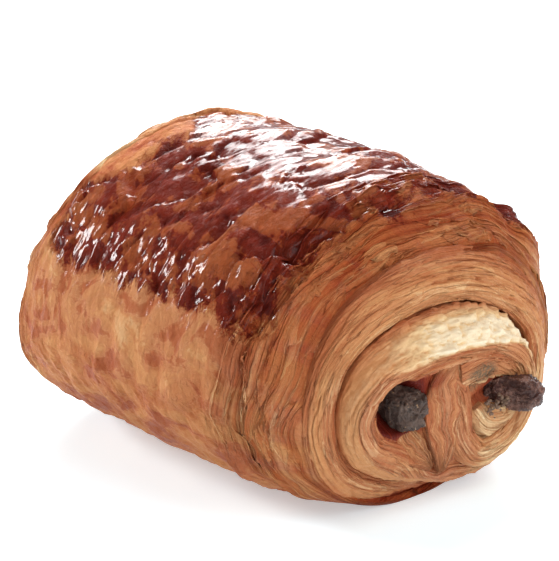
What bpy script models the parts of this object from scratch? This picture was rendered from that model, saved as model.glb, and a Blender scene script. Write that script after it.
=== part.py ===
"""Baked pain au chocolat: a rolled log of laminated dough with two chocolate sticks in it.

Metres, +Z up. The roll's axis is X. The origin is under the middle of the pastry, on the flat
base that it was baked on. Sizes below are in millimetres, and MM turns them into metres.

The pastry is one solid: a puffed crust that narrows to a rim at both ends, and at each end the
dough sheet in cross-section, which telescopes out of the rim turn by turn. Each chocolate
stick is a solid of its own, which runs through the pastry from end to end.
"""

import math

import bmesh
import bpy
from mathutils import Matrix, Vector, noise

MM = 0.001

# Crust: the outer skin of the roll, from rim to rim. NEAR is the +X end, FAR the -X end.
NEAR, FAR = 1, -1
RIM_X = {NEAR: 34.0, FAR: 37.2}        # how far each rim stands from the origin
RIM_WIDTH = {NEAR: 59.5, FAR: 66.0}
RIM_HEIGHT = {NEAR: 44.5, FAR: 49.0}
RIM_SHIFT = (0.5, 7.5)                 # the rims lean towards +Y, from their base to their top
CRUST_WIDTH = 80.0                     # across the middle
CRUST_HEIGHT = 57.0
SHOULDER_POWER = 5.5                   # how late the crust narrows towards its rims
WAIST = 0.43                           # height of the widest line, as a share of the height
TOP_POWER = 2.0                        # superellipse power of a section above its widest line
BASE_POWER = (1.75, 1.9)               # and below it, in the middle and at the rims
BASE_SAG = 1.03                        # the section runs on below the base, where it is cut

# Inside of a rim: (x from the rim, share of the rim's outline), from the skin to the plug.
RIM_STEPS = ((0.0, 1.0), (0.6, 0.985), (0.8, 0.965), (0.5, 0.945), (0.1, 0.93), (-0.2, 0.6))
PLUG_X = -0.3

# Relief of the crust: wrinkles that run round the roll, and lifted flakes that follow the rims.
SKIN_RADIUS = 34.0
WRINKLE_HEIGHT = 0.9
WRINKLE_LENGTH = 13.0
WRINKLE_WIDTH = 4.6
FLAKE_LIFT = 2.2
FLAKE_PITCH = 5.4                      # from one flake's edge to the next
FLAKE_ZONE = 14.0                      # how far from the rim the flakes reach
FLAKE_WAVE = 2.6                       # how far a flake's edge strays from the rim's line
RELIEF_FADE = (1.0, 5.0)               # heights over which the relief sets in above the base
# Blisters in the crust: centre (x, degrees round the roll), half length, half width, height.
BLISTERS = (
    ((27.5, 34.0), 5.5, 8.0, 1.8),
    ((-31.0, 120.0), 6.0, 10.0, 0.7),
)

# Mesh density.
CRUST_RINGS = 52
CRUST_SEGMENTS = 48
RING_CROWDING = 0.7                    # how far the rings gather towards the rims
SHEET_STEPS = 2                        # to each stretch between two points of a path
SHEET_SEGMENTS = 12
FLAT_DEGREES = 0.4                     # faces that meet flatter than this are merged
WELD = 0.01                            # points nearer to each other than this are merged

# The dough sheet in cross-section, seen from +X with +Y to the right. Each point on its middle
# line is (y, z, half thickness, x of its end face, share of the half thickness that is rounded
# off on the outer side). From the pinch between the sticks it rises, arches over, runs under
# the right stick, goes over both sticks and round the left one, and then once round outside.
ROLL_PATH = (
    (-1.4, 8.0, 0.5, 40.6, 0.3),
    (-2.3, 12.0, 0.8, 41.0, 0.3),
    (-2.6, 17.0, 1.1, 41.2, 0.3),
    (-1.2, 21.4, 1.2, 41.0, 0.3),
    (2.4, 23.6, 1.1, 41.0, 0.3),
    (5.7, 21.4, 1.3, 41.2, 0.3),
    (6.2, 16.4, 1.9, 41.5, 0.3),
    (5.8, 11.6, 2.7, 41.7, 0.3),
    (9.4, 7.8, 2.8, 41.8, 0.3),
    (15.8, 8.7, 2.8, 41.8, 0.4),
    (20.8, 12.6, 2.9, 41.6, 0.5),
    (22.5, 18.0, 3.0, 41.2, 0.6),
    (20.4, 23.6, 3.3, 41.0, 0.7),
    (13.8, 27.8, 3.8, 40.9, 0.85),
    (4.5, 29.6, 4.1, 40.9, 0.9),
    (-5.0, 29.4, 4.0, 40.9, 0.9),
    (-13.4, 26.6, 3.4, 40.7, 0.8),
    (-17.6, 21.0, 2.9, 40.5, 0.65),
    (-15.4, 14.8, 3.3, 40.5, 0.6),
    (-8.8, 10.4, 3.4, 40.5, 0.5),
    (-1.6, 6.4, 1.4, 40.0, 0.5),
    (4.6, 4.9, 2.4, 39.4, 0.5),
    (14.0, 4.2, 2.0, 38.8, 0.6),
    (23.0, 7.6, 2.3, 38.2, 0.7),
    (27.9, 14.0, 2.7, 37.8, 0.8),
    (29.2, 21.2, 3.0, 37.6, 1.0),
    (27.4, 28.8, 3.9, 37.4, 1.2),
    (19.9, 35.9, 4.5, 37.2, 1.3),
    (9.0, 40.2, 4.6, 37.0, 1.3),
    (-2.5, 40.3, 4.4, 37.0, 1.3),
    (-13.8, 36.8, 3.8, 36.8, 1.2),
    (-20.8, 30.2, 2.8, 36.6, 1.0),
    (-23.2, 21.6, 2.9, 36.2, 0.9),
    (-21.6, 13.2, 3.3, 36.0, 0.9),
    (-15.4, 6.9, 3.3, 35.8, 0.9),
    (-5.8, 3.9, 2.4, 35.4, 0.8),
    (5.0, 2.6, 1.4, 34.6, 0.6),
)
# The sheet is made in stretches, so that no stretch runs into itself: the points of the path
# where one gives way to the next, and how much smaller its tucked end is, step by step.
STRETCH_JOINTS = (7, 20, 28)
TUCKED = (0.5, 0.9)
TUCK_DEPTH = 3.0                       # how far back the face of a fully tucked end would lie
# Folds of the sheet's start that fill the arch, the foot of each stick, and the right one's top.
FOLDS = {
    "arch_fold": (
        (-0.6, 8.0, 1.0, 40.8, 0.3),
        (1.6, 12.0, 3.5, 41.0, 0.3),
        (1.9, 16.6, 4.2, 41.2, 0.3),
        (2.2, 20.2, 3.5, 41.2, 0.3),
        (2.4, 22.2, 2.4, 41.0, 0.3),
    ),
    "left_fold": (
        (-1.8, 8.0, 0.9, 40.6, 0.3),
        (-5.0, 11.6, 2.8, 40.9, 0.3),
        (-7.4, 14.0, 3.5, 40.4, 0.3),
        (-8.4, 16.2, 3.2, 39.8, 0.3),
    ),
    "right_fold": (
        (9.6, 17.0, 2.2, 41.2, 0.3),
        (11.6, 13.3, 2.9, 41.4, 0.3),
        (15.8, 12.6, 2.8, 41.4, 0.3),
        (19.4, 15.4, 2.2, 41.2, 0.3),
    ),
    "right_cap": (
        (6.4, 22.4, 1.9, 41.0, 0.3),
        (10.2, 23.4, 2.7, 40.9, 0.3),
        (14.8, 23.2, 2.8, 40.7, 0.3),
        (19.2, 21.2, 1.8, 40.8, 0.3),
    ),
}
# Packed dough behind the folds: centre (y, z), half width, half height, x of its face.
CORE = (3.2, 16.8, 19.5, 10.6, 39.4)
CORE_SEGMENTS = 28
# Hollows at the mouths of the sticks' channels: centre (x, y, z), radii.
HOLLOWS = (
    ((43.0, -8.6, 21.2), (8.0, 6.4, 5.2)),
    ((43.0, 12.6, 18.6), (5.5, 4.2, 2.2)),
)
SHEET_ROOT = 27.0                      # x where the sheet's end is rooted in the plug
FACE_DOME = 0.35                       # the middle of an end face stands proud of its edges
INNER_ROUND = 0.7                      # rounding of the inner edge
SHOULDER_FROM = 33.0                   # a shoulder runs this share of the way back to here
SHOULDER_SHARE = 0.68
SHOULDER_CURVE = 1.3
SHOULDER_SLOPE = 2.2                   # the most that a shoulder falls back for its depth
# Where round its outline the sheet's inner wall, its rounding, its face, its shoulder and its
# outer wall end, as shares of the whole way.
PROFILE_ENDS = (0.12, 0.3, 0.5, 0.8, 0.92)

# The far end's scroll is a little shorter, and its outer turn opens out to the wider rim.
FAR_SHORTER = 1.5
SCROLL_MIDDLE = (3.0, 18.0)
SCROLL_RADIUS = 14.0
FAR_OPENING = 0.085

# Chocolate sticks: centre (y, z), width, height, x of the two ends, how far the side towards
# -Y has broken away at the near end.
STICKS = {
    "chocolate_stick_left": (-7.3, 19.9, 9.9, 8.7, -44.5, 41.8, 0.0),
    "chocolate_stick_right": (17.0, 17.5, 10.2, 6.2, -47.2, 47.6, 3.2),
}
BREAK_FROM = 38.0                      # x from which the broken side falls back
BREAK_RISE = 1.3                       # how far its lower edge has broken off too
BREAK_BLEND = 2.5                      # how far it takes the break to reach its full depth
STICK_POWER = 2.8
STICK_END_POWER = 30                   # how square the ends are
STICK_GAP = 0.3                        # between a stick and its channel
STICK_LUMPS = 3.0                      # length of the lumps at a stick's uneven ends
STICK_SWELL = 0.16                     # how much thicker or thinner they make it
STICK_UNEVEN = 0.9                     # how far they push its end face in and out
STICK_RINGS = 18
STICK_SEGMENTS = 14
CHANNEL_END = 34.0                     # outside of this x the sticks' ends are uneven


def superellipse(angle, power):
    """Point on the unit superellipse at this angle."""
    c, s = math.cos(angle), math.sin(angle)
    return (math.copysign(abs(c) ** (2 / power), c), math.copysign(abs(s) ** (2 / power), s))


def mix(start, end, share):
    """Value at this share of the way from start to end."""
    return start + (end - start) * share


def smooth(low, high, value):
    """Rises smoothly from 0 at low to 1 at high."""
    t = min(1.0, max(0.0, (value - low) / (high - low)))
    return t * t * (3 - 2 * t)


def crust_point(x, angle, outline=1.0):
    """Point (y, z) of the crust's section at x, at an outline scaled about its own middle."""
    end = NEAR if x > 0 else FAR
    k = min(abs(x) / RIM_X[end], 1.0) ** SHOULDER_POWER
    half_width = mix(CRUST_WIDTH, RIM_WIDTH[end], k) / 2
    height = mix(CRUST_HEIGHT, RIM_HEIGHT[end], k)
    middle = WAIST * height
    if math.sin(angle) >= 0:
        c, s = superellipse(angle, TOP_POWER)
        rise = (height - middle) * s
    else:
        c, s = superellipse(angle, mix(*BASE_POWER, k))
        rise = middle * BASE_SAG * s
    z = middle + rise * outline
    return mix(*RIM_SHIFT, z / height) * k + half_width * c * outline, z


def relief(x, angle):
    """Height of the wrinkles, blisters and flakes on the crust, in millimetres."""
    end = NEAR if x > 0 else FAR
    along = angle * SKIN_RADIUS / WRINKLE_LENGTH
    bump = noise.noise(Vector((x / WRINKLE_WIDTH, along, 3.1)))
    fine = noise.noise(Vector((x / WRINKLE_WIDTH * 2.1, along * 2.3, 7.7)))
    height = WRINKLE_HEIGHT * (bump + 0.5 * fine)
    from_rim = RIM_X[end] - abs(x)
    if from_rim < FLAKE_ZONE:
        wave = FLAKE_WAVE * noise.noise(Vector((angle * 1.9, end * 5.0, 1.7)))
        tooth = ((from_rim + wave) / FLAKE_PITCH) % 1.0
        patch = 0.6 + noise.noise(Vector((angle * 3.1, from_rim / 7.0, end * 9.0)))
        height += FLAKE_LIFT * tooth ** 2 * max(patch, 0.0) * (1 - from_rim / FLAKE_ZONE) ** 0.5
    for (centre, degrees), half_length, half_width, rise in BLISTERS:
        away = math.hypot((x - centre) / half_length,
                          (angle - math.radians(degrees)) * SKIN_RADIUS / half_width)
        height += rise * smooth(1.0, 0.3, away)
    return height


def sphere_grid(rings, segments):
    """A closed sphere as a bmesh, and for each vertex its ring and its angle round the X axis.

    Ring 0 and ring `rings` are the two poles, at -X and at +X. The angle is 0 on the +Y side, a
    quarter turn on top, and jumps only along the bottom.
    """
    bm = bmesh.new()
    bmesh.ops.create_uvsphere(bm, u_segments=segments, v_segments=rings, radius=1.0)
    places = []
    for vert in bm.verts:
        polar = math.acos(max(-1.0, min(1.0, vert.co.z)))
        ring = rings - round(polar / math.pi * rings)
        angle = math.atan2(vert.co.x, vert.co.y)
        places.append((vert, ring, angle + math.tau if angle < -math.pi / 2 else angle))
    return bm, places


def crust_stations():
    """Each ring's (x, outline) along the crust, from one plug over the skin to the other."""
    near = [(RIM_X[NEAR] + dx, share) for dx, share in (*RIM_STEPS, (PLUG_X, 0.0))]
    far = [(-RIM_X[FAR] - dx, share) for dx, share in (*RIM_STEPS, (PLUG_X, 0.0))]
    stretches = CRUST_RINGS + 2 - len(near) - len(far)
    skin = []
    for i in range(1, stretches):
        even = i / stretches
        crowded = (1 - math.cos(math.pi * even)) / 2
        skin.append((mix(-RIM_X[FAR], RIM_X[NEAR], mix(even, crowded, RING_CROWDING)), 1.0))
    return [*reversed(far), *skin, *near]


def finish_mesh(bm, name, collection):
    """Turn a closed bmesh into an object with outward faces, in the collection."""
    bmesh.ops.recalc_face_normals(bm, faces=bm.faces)
    if bm.calc_volume(signed=True) < 0:
        bmesh.ops.reverse_faces(bm, faces=bm.faces)
    mesh = bpy.data.meshes.new(name)
    bm.to_mesh(mesh)
    bm.free()
    mesh.shade_smooth()
    obj = bpy.data.objects.new(name, mesh)
    collection.objects.link(obj)
    return obj


def make_crust(collection):
    """The puffed crust, closed at both ends by the plug behind the rolled sheet."""
    bm, places = sphere_grid(CRUST_RINGS, CRUST_SEGMENTS)
    stations = crust_stations()
    for vert, ring, angle in places:
        x, outline = stations[ring]
        y, z = crust_point(x, angle, outline)
        if outline == 1.0:
            y2, z2 = crust_point(x, angle + 0.01)
            out = Vector((z2 - z, y - y2)).normalized()
            lift = relief(x, angle) * smooth(*RELIEF_FADE, z)
            y += out.x * lift
            z += out.y * lift
        vert.co = Vector((x, y, z)) * MM
    bmesh.ops.bisect_plane(
        bm, geom=bm.verts[:] + bm.edges[:] + bm.faces[:], plane_co=(0, 0, 0),
        plane_no=(0, 0, -1), clear_outer=True,
    )
    rim = [edge for edge in bm.edges if edge.is_boundary]
    bmesh.ops.contextual_create(bm, geom=rim)
    return finish_mesh(bm, "pastry", collection)


def smooth_path(points, steps):
    """Points on a smooth curve through the given ones (Catmull-Rom), `steps` to each stretch."""
    first = [2 * a - b for a, b in zip(points[0], points[1])]
    last = [2 * a - b for a, b in zip(points[-1], points[-2])]
    chain = [first, *points, last]
    path = []
    for i in range(1, len(chain) - 2):
        for j in range(steps):
            t = j / steps
            path.append([
                0.5 * (2 * b + (c - a) * t + (2 * a - 5 * b + 4 * c - d) * t ** 2
                       + (3 * b - a - 3 * c + d) * t ** 3)
                for a, b, c, d in zip(*chain[i - 1:i + 3])
            ])
    path.append(list(points[-1]))
    return path


def sheet_profile(share, half, face, shoulder):
    """Outline of the sheet's end: (offset across the sheet, x).

    The share runs once round the outline, from the root of the inner wall over the end face
    to the root of the outer wall and back through the plug.
    """
    inner = min(INNER_ROUND, 0.6 * half)
    outer = min(shoulder * half, 2 * half - inner - 0.1)
    fall = min(SHOULDER_SHARE * (face - SHOULDER_FROM), SHOULDER_SLOPE * outer)
    bounds = (0.0, *PROFILE_ENDS, 1.0)
    part = sum(share >= bound for bound in PROFILE_ENDS)
    t = (share - bounds[part]) / (bounds[part + 1] - bounds[part])
    turn = t * math.pi / 2
    return (
        (-half, mix(SHEET_ROOT, face - inner, t)),
        (-half + inner * (1 - math.cos(turn)), face - inner * (1 - math.sin(turn))),
        (mix(-half + inner, half - outer, t), face + FACE_DOME * math.sin(math.pi * t)),
        (half - outer * (1 - t), face - fall * t ** SHOULDER_CURVE),
        (half, mix(face - fall, SHEET_ROOT, t)),
        (mix(half, -half, t), SHEET_ROOT),
    )[part]


def tuck(point, scale):
    """The same point of the sheet, thinner and set back, where it lies inside its neighbour."""
    y, z, half, face, shoulder = point
    return [y, z, half * scale, face - TUCK_DEPTH * (1 - scale), shoulder]


def sheet_stretches(points, joints):
    """The sheet's path in stretches that overlap at the joints with tucked ends."""
    path = smooth_path(points, SHEET_STEPS)
    bounds = [0, *(SHEET_STEPS * joint for joint in joints), len(path)]
    stretches = []
    for first, last in zip(bounds, bounds[1:]):
        stretch = path[max(first - 2, 0):min(last + 2, len(path))]
        for i, scale in enumerate(TUCKED):
            if first > 0:
                stretch[i] = tuck(stretch[i], scale)
            if last < len(path):
                stretch[-1 - i] = tuck(stretch[-1 - i], scale)
        stretches.append(stretch)
    return stretches


def make_sheet(name, path, end, collection):
    """Sweep the rounded end of the dough sheet along its middle line, at one end of the roll."""
    if end == FAR:
        path = [far_point(*point) for point in path]
    rings = len(path) + 1
    bm, places = sphere_grid(rings, SHEET_SEGMENTS)
    for vert, ring, angle in places:
        i = min(max(ring - 1, 0), len(path) - 1)
        y, z, half, face, shoulder = path[i]
        y0, z0 = path[max(i - 1, 0)][:2]
        y1, z1 = path[min(i + 1, len(path) - 1)][:2]
        ahead = Vector((y1 - y0, z1 - z0)).normalized()
        across, x = sheet_profile((angle / math.tau) % 1.0, half, face, shoulder)
        if ring in (0, rings):
            across, x = 0.0, mix(SHEET_ROOT, face, 0.5)
        vert.co = Vector((end * x, y + ahead.y * across, z - ahead.x * across)) * MM
    return finish_mesh(bm, name, collection)


def far_point(y, z, half, face, shoulder):
    """The same point of the sheet at the far end, whose outer turn opens out."""
    dy, dz = y - SCROLL_MIDDLE[0], z - SCROLL_MIDDLE[1]
    outside = min(1.0, max(0.0, math.hypot(dy, dz) / SCROLL_RADIUS - 1.0))
    wider = 1 + FAR_OPENING * outside
    low = min(z, SCROLL_MIDDLE[1] + dz * wider) if dz < 0 else SCROLL_MIDDLE[1] + dz * wider
    reach = face - FAR_SHORTER + RIM_X[FAR] - RIM_X[NEAR]
    return [SCROLL_MIDDLE[0] + dy * wider, max(low, half + 0.8), half, reach, shoulder]


def make_core(end, collection):
    """The packed dough behind the folds, a short oval cylinder along the roll."""
    y, z, half_width, half_height, face = CORE
    face = far_point(y, z, 0.0, face, 0.0)[3] if end == FAR else face
    bm = bmesh.new()
    bmesh.ops.create_cone(
        bm, cap_ends=True, segments=CORE_SEGMENTS, radius1=1.0, radius2=1.0,
        depth=face - SHEET_ROOT, matrix=Matrix.Rotation(math.pi / 2, 4, "Y"),
    )
    bmesh.ops.scale(bm, vec=(1.0, half_width, half_height), verts=bm.verts)
    bmesh.ops.translate(bm, vec=(end * (face + SHEET_ROOT) / 2, y, z), verts=bm.verts)
    bmesh.ops.scale(bm, vec=(MM, MM, MM), verts=bm.verts)
    return finish_mesh(bm, "core", collection)


def make_hollow(centre, radii, end, collection):
    """A cutter for the hollow that a stick's end stands in."""
    bm = bmesh.new()
    bmesh.ops.create_uvsphere(bm, u_segments=16, v_segments=10, radius=MM)
    bmesh.ops.scale(bm, vec=radii, verts=bm.verts)
    reach = far_point(*centre[1:], 0.0, centre[0], 0.0)[3] if end == FAR else centre[0]
    bmesh.ops.translate(bm, vec=Vector((end * reach, *centre[1:])) * MM, verts=bm.verts)
    return finish_mesh(bm, "hollow", collection)


def make_stick(name, grow, collection):
    """A chocolate stick with uneven ends, or with `grow` the larger form that its channel takes."""
    y, z, width, height, back_x, front_x, broken = STICKS[name]
    bm, places = sphere_grid(STICK_RINGS, STICK_SEGMENTS)
    for vert, ring, angle in places:
        t = -math.cos(math.pi * ring / STICK_RINGS)
        taper = (1 - abs(t) ** STICK_END_POWER) ** (1 / STICK_POWER) if abs(t) < 1 else 0.0
        x = back_x + (front_x - back_x) * (t + 1) / 2
        c, s = superellipse(angle, STICK_POWER)
        around = Vector((x / STICK_LUMPS, math.cos(angle) * 1.3 + y, math.sin(angle) * 1.3))
        lump = noise.noise(around)
        swell = 1 + STICK_SWELL * lump * smooth(CHANNEL_END, CHANNEL_END + 4, abs(x))
        x += (math.copysign(grow, t) + STICK_UNEVEN * lump) * abs(t) ** 9
        place = Vector((
            x,
            y + c * (width / 2 * taper * swell + grow),
            z + s * (height / 2 * taper * swell + grow),
        ))
        if grow == 0 and x > 0 and broken > 0:
            share = smooth(y, y - BREAK_BLEND, place.y) * smooth(BREAK_FROM, front_x - STICK_GAP, x)
            place.x -= broken * share
            place.z += BREAK_RISE * share * smooth(z, z - BREAK_BLEND, place.z)
        vert.co = place * MM
    return finish_mesh(bm, name if grow == 0 else name + "_channel", collection)


def boolean(target, operation, other, solver):
    """Join a collection's objects to the target, or cut them from it, and apply the modifier."""
    modifier = target.modifiers.new(operation.title(), "BOOLEAN")
    modifier.operation = operation
    modifier.solver = solver
    modifier.operand_type = "COLLECTION"
    modifier.collection = other
    depsgraph = bpy.context.evaluated_depsgraph_get()
    mesh = bpy.data.meshes.new_from_object(target.evaluated_get(depsgraph))
    target.modifiers.remove(modifier)
    old = target.data
    target.data = mesh
    mesh.name = target.name
    bpy.data.meshes.remove(old)
    for obj in list(other.objects):
        bpy.data.objects.remove(obj, do_unlink=True)


def tidy_solid(obj):
    """Merge a mesh's close points and nearly flat faces, and keep only its largest body."""
    bm = bmesh.new()
    bm.from_mesh(obj.data)
    bmesh.ops.triangulate(bm, faces=bm.faces[:])
    bmesh.ops.remove_doubles(bm, verts=bm.verts[:], dist=WELD * MM)
    bmesh.ops.dissolve_limit(
        bm, angle_limit=math.radians(FLAT_DEGREES), verts=bm.verts[:], edges=bm.edges[:],
    )
    bmesh.ops.triangulate(bm, faces=bm.faces[:])
    bmesh.ops.dissolve_degenerate(bm, dist=WELD * MM, edges=bm.edges[:])
    bmesh.ops.triangulate(bm, faces=bm.faces[:])
    bodies, seen = [], set()
    for vert in bm.verts:
        if vert in seen:
            continue
        body, queue = [], [vert]
        seen.add(vert)
        while queue:
            body.append(queue.pop())
            for edge in body[-1].link_edges:
                other = edge.other_vert(body[-1])
                if other not in seen:
                    seen.add(other)
                    queue.append(other)
        bodies.append(body)
    bodies.sort(key=len)
    scraps = [vert for body in bodies[:-1] for vert in body]
    bmesh.ops.delete(bm, geom=scraps, context="VERTS")
    bm.to_mesh(obj.data)
    bm.free()


def make_material(name, color, roughness):
    """A Principled material of one colour."""
    material = bpy.data.materials.new(name)
    material.use_nodes = True
    shader = material.node_tree.nodes["Principled BSDF"]
    shader.inputs["Base Color"].default_value = (*color, 1.0)
    shader.inputs["Roughness"].default_value = roughness
    shader.inputs["Metallic"].default_value = 0.0
    return material


def new_collection(name):
    """A collection of this name, linked to the scene."""
    collection = bpy.data.collections.new(name)
    bpy.context.scene.collection.children.link(collection)
    return collection


def main():
    """Build the pastry and its two chocolate sticks."""
    for obj in list(bpy.data.objects):
        bpy.data.objects.remove(obj, do_unlink=True)
    parts = new_collection("pain_au_chocolat")
    joined = new_collection("sheet_ends")
    channels = new_collection("stick_channels")

    pastry = make_crust(parts)
    for end in (NEAR, FAR):
        for stretch in sheet_stretches(ROLL_PATH, STRETCH_JOINTS):
            make_sheet("roll", stretch, end, joined)
        make_core(end, joined)
        for name, points in FOLDS.items():
            make_sheet(name, smooth_path(points, SHEET_STEPS), end, joined)
        for centre, radii in HOLLOWS:
            make_hollow(centre, radii, end, channels)
    boolean(pastry, "UNION", joined, "MANIFOLD")
    for name in STICKS:
        make_stick(name, STICK_GAP, channels)
    boolean(pastry, "DIFFERENCE", channels, "MANIFOLD")
    tidy_solid(pastry)

    crust_finish = make_material("baked_crust", (0.35, 0.13, 0.045), 0.4)
    pastry.data.materials.clear()
    pastry.data.materials.append(crust_finish)
    chocolate = make_material("dark_chocolate", (0.07, 0.035, 0.024), 0.6)
    for name in STICKS:
        stick = make_stick(name, 0.0, parts)
        stick.data.materials.append(chocolate)


main()
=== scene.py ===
"""Dresses a baked pain au chocolat: its crust, rolled ends, flakes, crumbs and chocolate.

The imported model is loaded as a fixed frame, and every piece is built where the solid that it
stands for lies, with the finer relief and the finish that the solid leaves out. Lengths are in
millimetres until they go into a mesh, where MM turns them into metres. The roll's axis is X.
"""

import enum
import functools
import logging
import math
import random
from collections.abc import Callable, Iterable
from dataclasses import dataclass, field
from typing import Any

import bmesh
import bpy
from mathutils import Matrix, Vector, noise


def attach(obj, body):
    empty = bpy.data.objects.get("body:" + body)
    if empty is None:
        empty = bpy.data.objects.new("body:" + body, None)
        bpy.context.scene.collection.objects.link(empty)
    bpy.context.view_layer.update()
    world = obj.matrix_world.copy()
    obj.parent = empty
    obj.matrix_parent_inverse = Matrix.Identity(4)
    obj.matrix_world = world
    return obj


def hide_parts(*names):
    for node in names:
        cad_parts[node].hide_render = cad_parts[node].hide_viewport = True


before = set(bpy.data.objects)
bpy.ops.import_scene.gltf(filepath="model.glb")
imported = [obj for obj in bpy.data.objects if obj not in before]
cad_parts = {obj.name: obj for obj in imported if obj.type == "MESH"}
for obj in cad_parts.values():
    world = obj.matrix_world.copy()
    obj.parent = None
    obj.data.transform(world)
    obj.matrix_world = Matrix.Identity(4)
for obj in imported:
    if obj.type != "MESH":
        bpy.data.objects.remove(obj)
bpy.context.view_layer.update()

LOG = logging.getLogger("pain_au_chocolat")
MM = 0.001
# The line attribute is painted shade in creases, cracks and gaps between layers.
CRUST_VALUES = ("bake", "line", "rim", "glaze", "height", "length", "girth")
DOUGH_VALUES = ("bake", "line", "ruddy", "stain", "lined", "along", "across")
Tone = tuple[float, float, float]


class End(enum.IntEnum):
    """The two ends of the roll, as the sign of their X."""

    NEAR = 1
    FAR = -1


class Slot(enum.Enum):
    """The material slots."""

    CRUST = "baked_crust"
    CHOCOLATE = "dark_chocolate"


def per_end(near: float, far: float) -> Any:
    """A dataclass field that holds one value for each end."""
    return field(default_factory=lambda: {End.NEAR: near, End.FAR: far})


def mix(start: float, end: float, share: float) -> float:
    """Value at this share of the way from start to end."""
    return start + (end - start) * share


def smooth(low: float, high: float, value: float) -> float:
    """Rises smoothly from 0 at low to 1 at high, and falls if high is the smaller.

    Args:
        low: Value where the result is 0.
        high: Value where the result is 1.
        value: Value to place between them.

    Returns:
        A share from 0 to 1.
    """
    t = min(1.0, max(0.0, (value - low) / (high - low)))
    return t * t * (3 - 2 * t)


def ripple(x: float, y: float, seed: float) -> float:
    """Smooth noise, from about -1 to 1."""
    return noise.noise(Vector((x, y, seed)))


def crest(value: float, sharpness: float = 2.4) -> float:
    """A sharp crest of height 1 where noise passes through 0."""
    return 1.0 - min(1.0, abs(value) * sharpness)


def superellipse(angle: float, power: float) -> tuple[float, float]:
    """Point on the unit superellipse at this angle."""
    c, s = math.cos(angle), math.sin(angle)
    return (math.copysign(abs(c) ** (2 / power), c), math.copysign(abs(s) ** (2 / power), s))


def sphere_grid(
    rings: int, segments: int, keys: tuple[str, ...] = (),
) -> tuple[bmesh.types.BMesh, dict, list[tuple[bmesh.types.BMVert, int, float]]]:
    """A closed sphere, which the pieces that run along the roll are shaped from.

    Args:
        rings: Steps from the pole at -X to the pole at +X.
        segments: Steps round the X axis.
        keys: Names of the attributes that its vertices get.

    Returns:
        The bmesh, the attributes' layers by name, and for each vertex its ring and its angle
        round the X axis. The angle is 0 on the +Y side, a quarter turn on top, and jumps only
        along the bottom.
    """
    bm = bmesh.new()
    layers = {key: bm.verts.layers.float.new(key) for key in keys}
    bmesh.ops.create_uvsphere(bm, u_segments=segments, v_segments=rings, radius=1.0)
    places = []
    for vert in bm.verts:
        polar = math.acos(max(-1.0, min(1.0, vert.co.z)))
        ring = rings - round(polar / math.pi * rings)
        angle = math.atan2(vert.co.x, vert.co.y)
        places.append((vert, ring, angle + math.tau if angle < -math.pi / 2 else angle))
    return bm, layers, places


def store(vert: bmesh.types.BMVert, layers: dict, values: dict[str, float]) -> None:
    """Write values to a vertex's attributes."""
    for key, value in values.items():
        vert[layers[key]] = value


def finish_piece(
    bm: bmesh.types.BMesh, name: str, material: bpy.types.Material, node: str,
) -> bpy.types.Object:
    """Turn a closed bmesh into a piece of the scene that rides on the model's body.

    Args:
        bm: The closed mesh, in metres. It is freed.
        name: Name of the piece.
        material: Its finish.
        node: The solid that the piece stands for.

    Returns:
        The new object, at the origin.
    """
    bmesh.ops.recalc_face_normals(bm, faces=bm.faces)
    if bm.calc_volume(signed=True) < 0:
        bmesh.ops.reverse_faces(bm, faces=bm.faces)
    mesh = bpy.data.meshes.new(name)
    bm.to_mesh(mesh)
    bm.free()
    mesh.shade_smooth()
    mesh.materials.append(material)
    piece = bpy.data.objects.new(name, mesh)
    bpy.context.scene.collection.objects.link(piece)
    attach(piece, "root")
    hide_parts(node)
    LOG.info("%s: %d faces", name, len(mesh.polygons))
    return piece


# --- Finishes -----------------------------------------------------------------------------


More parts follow.
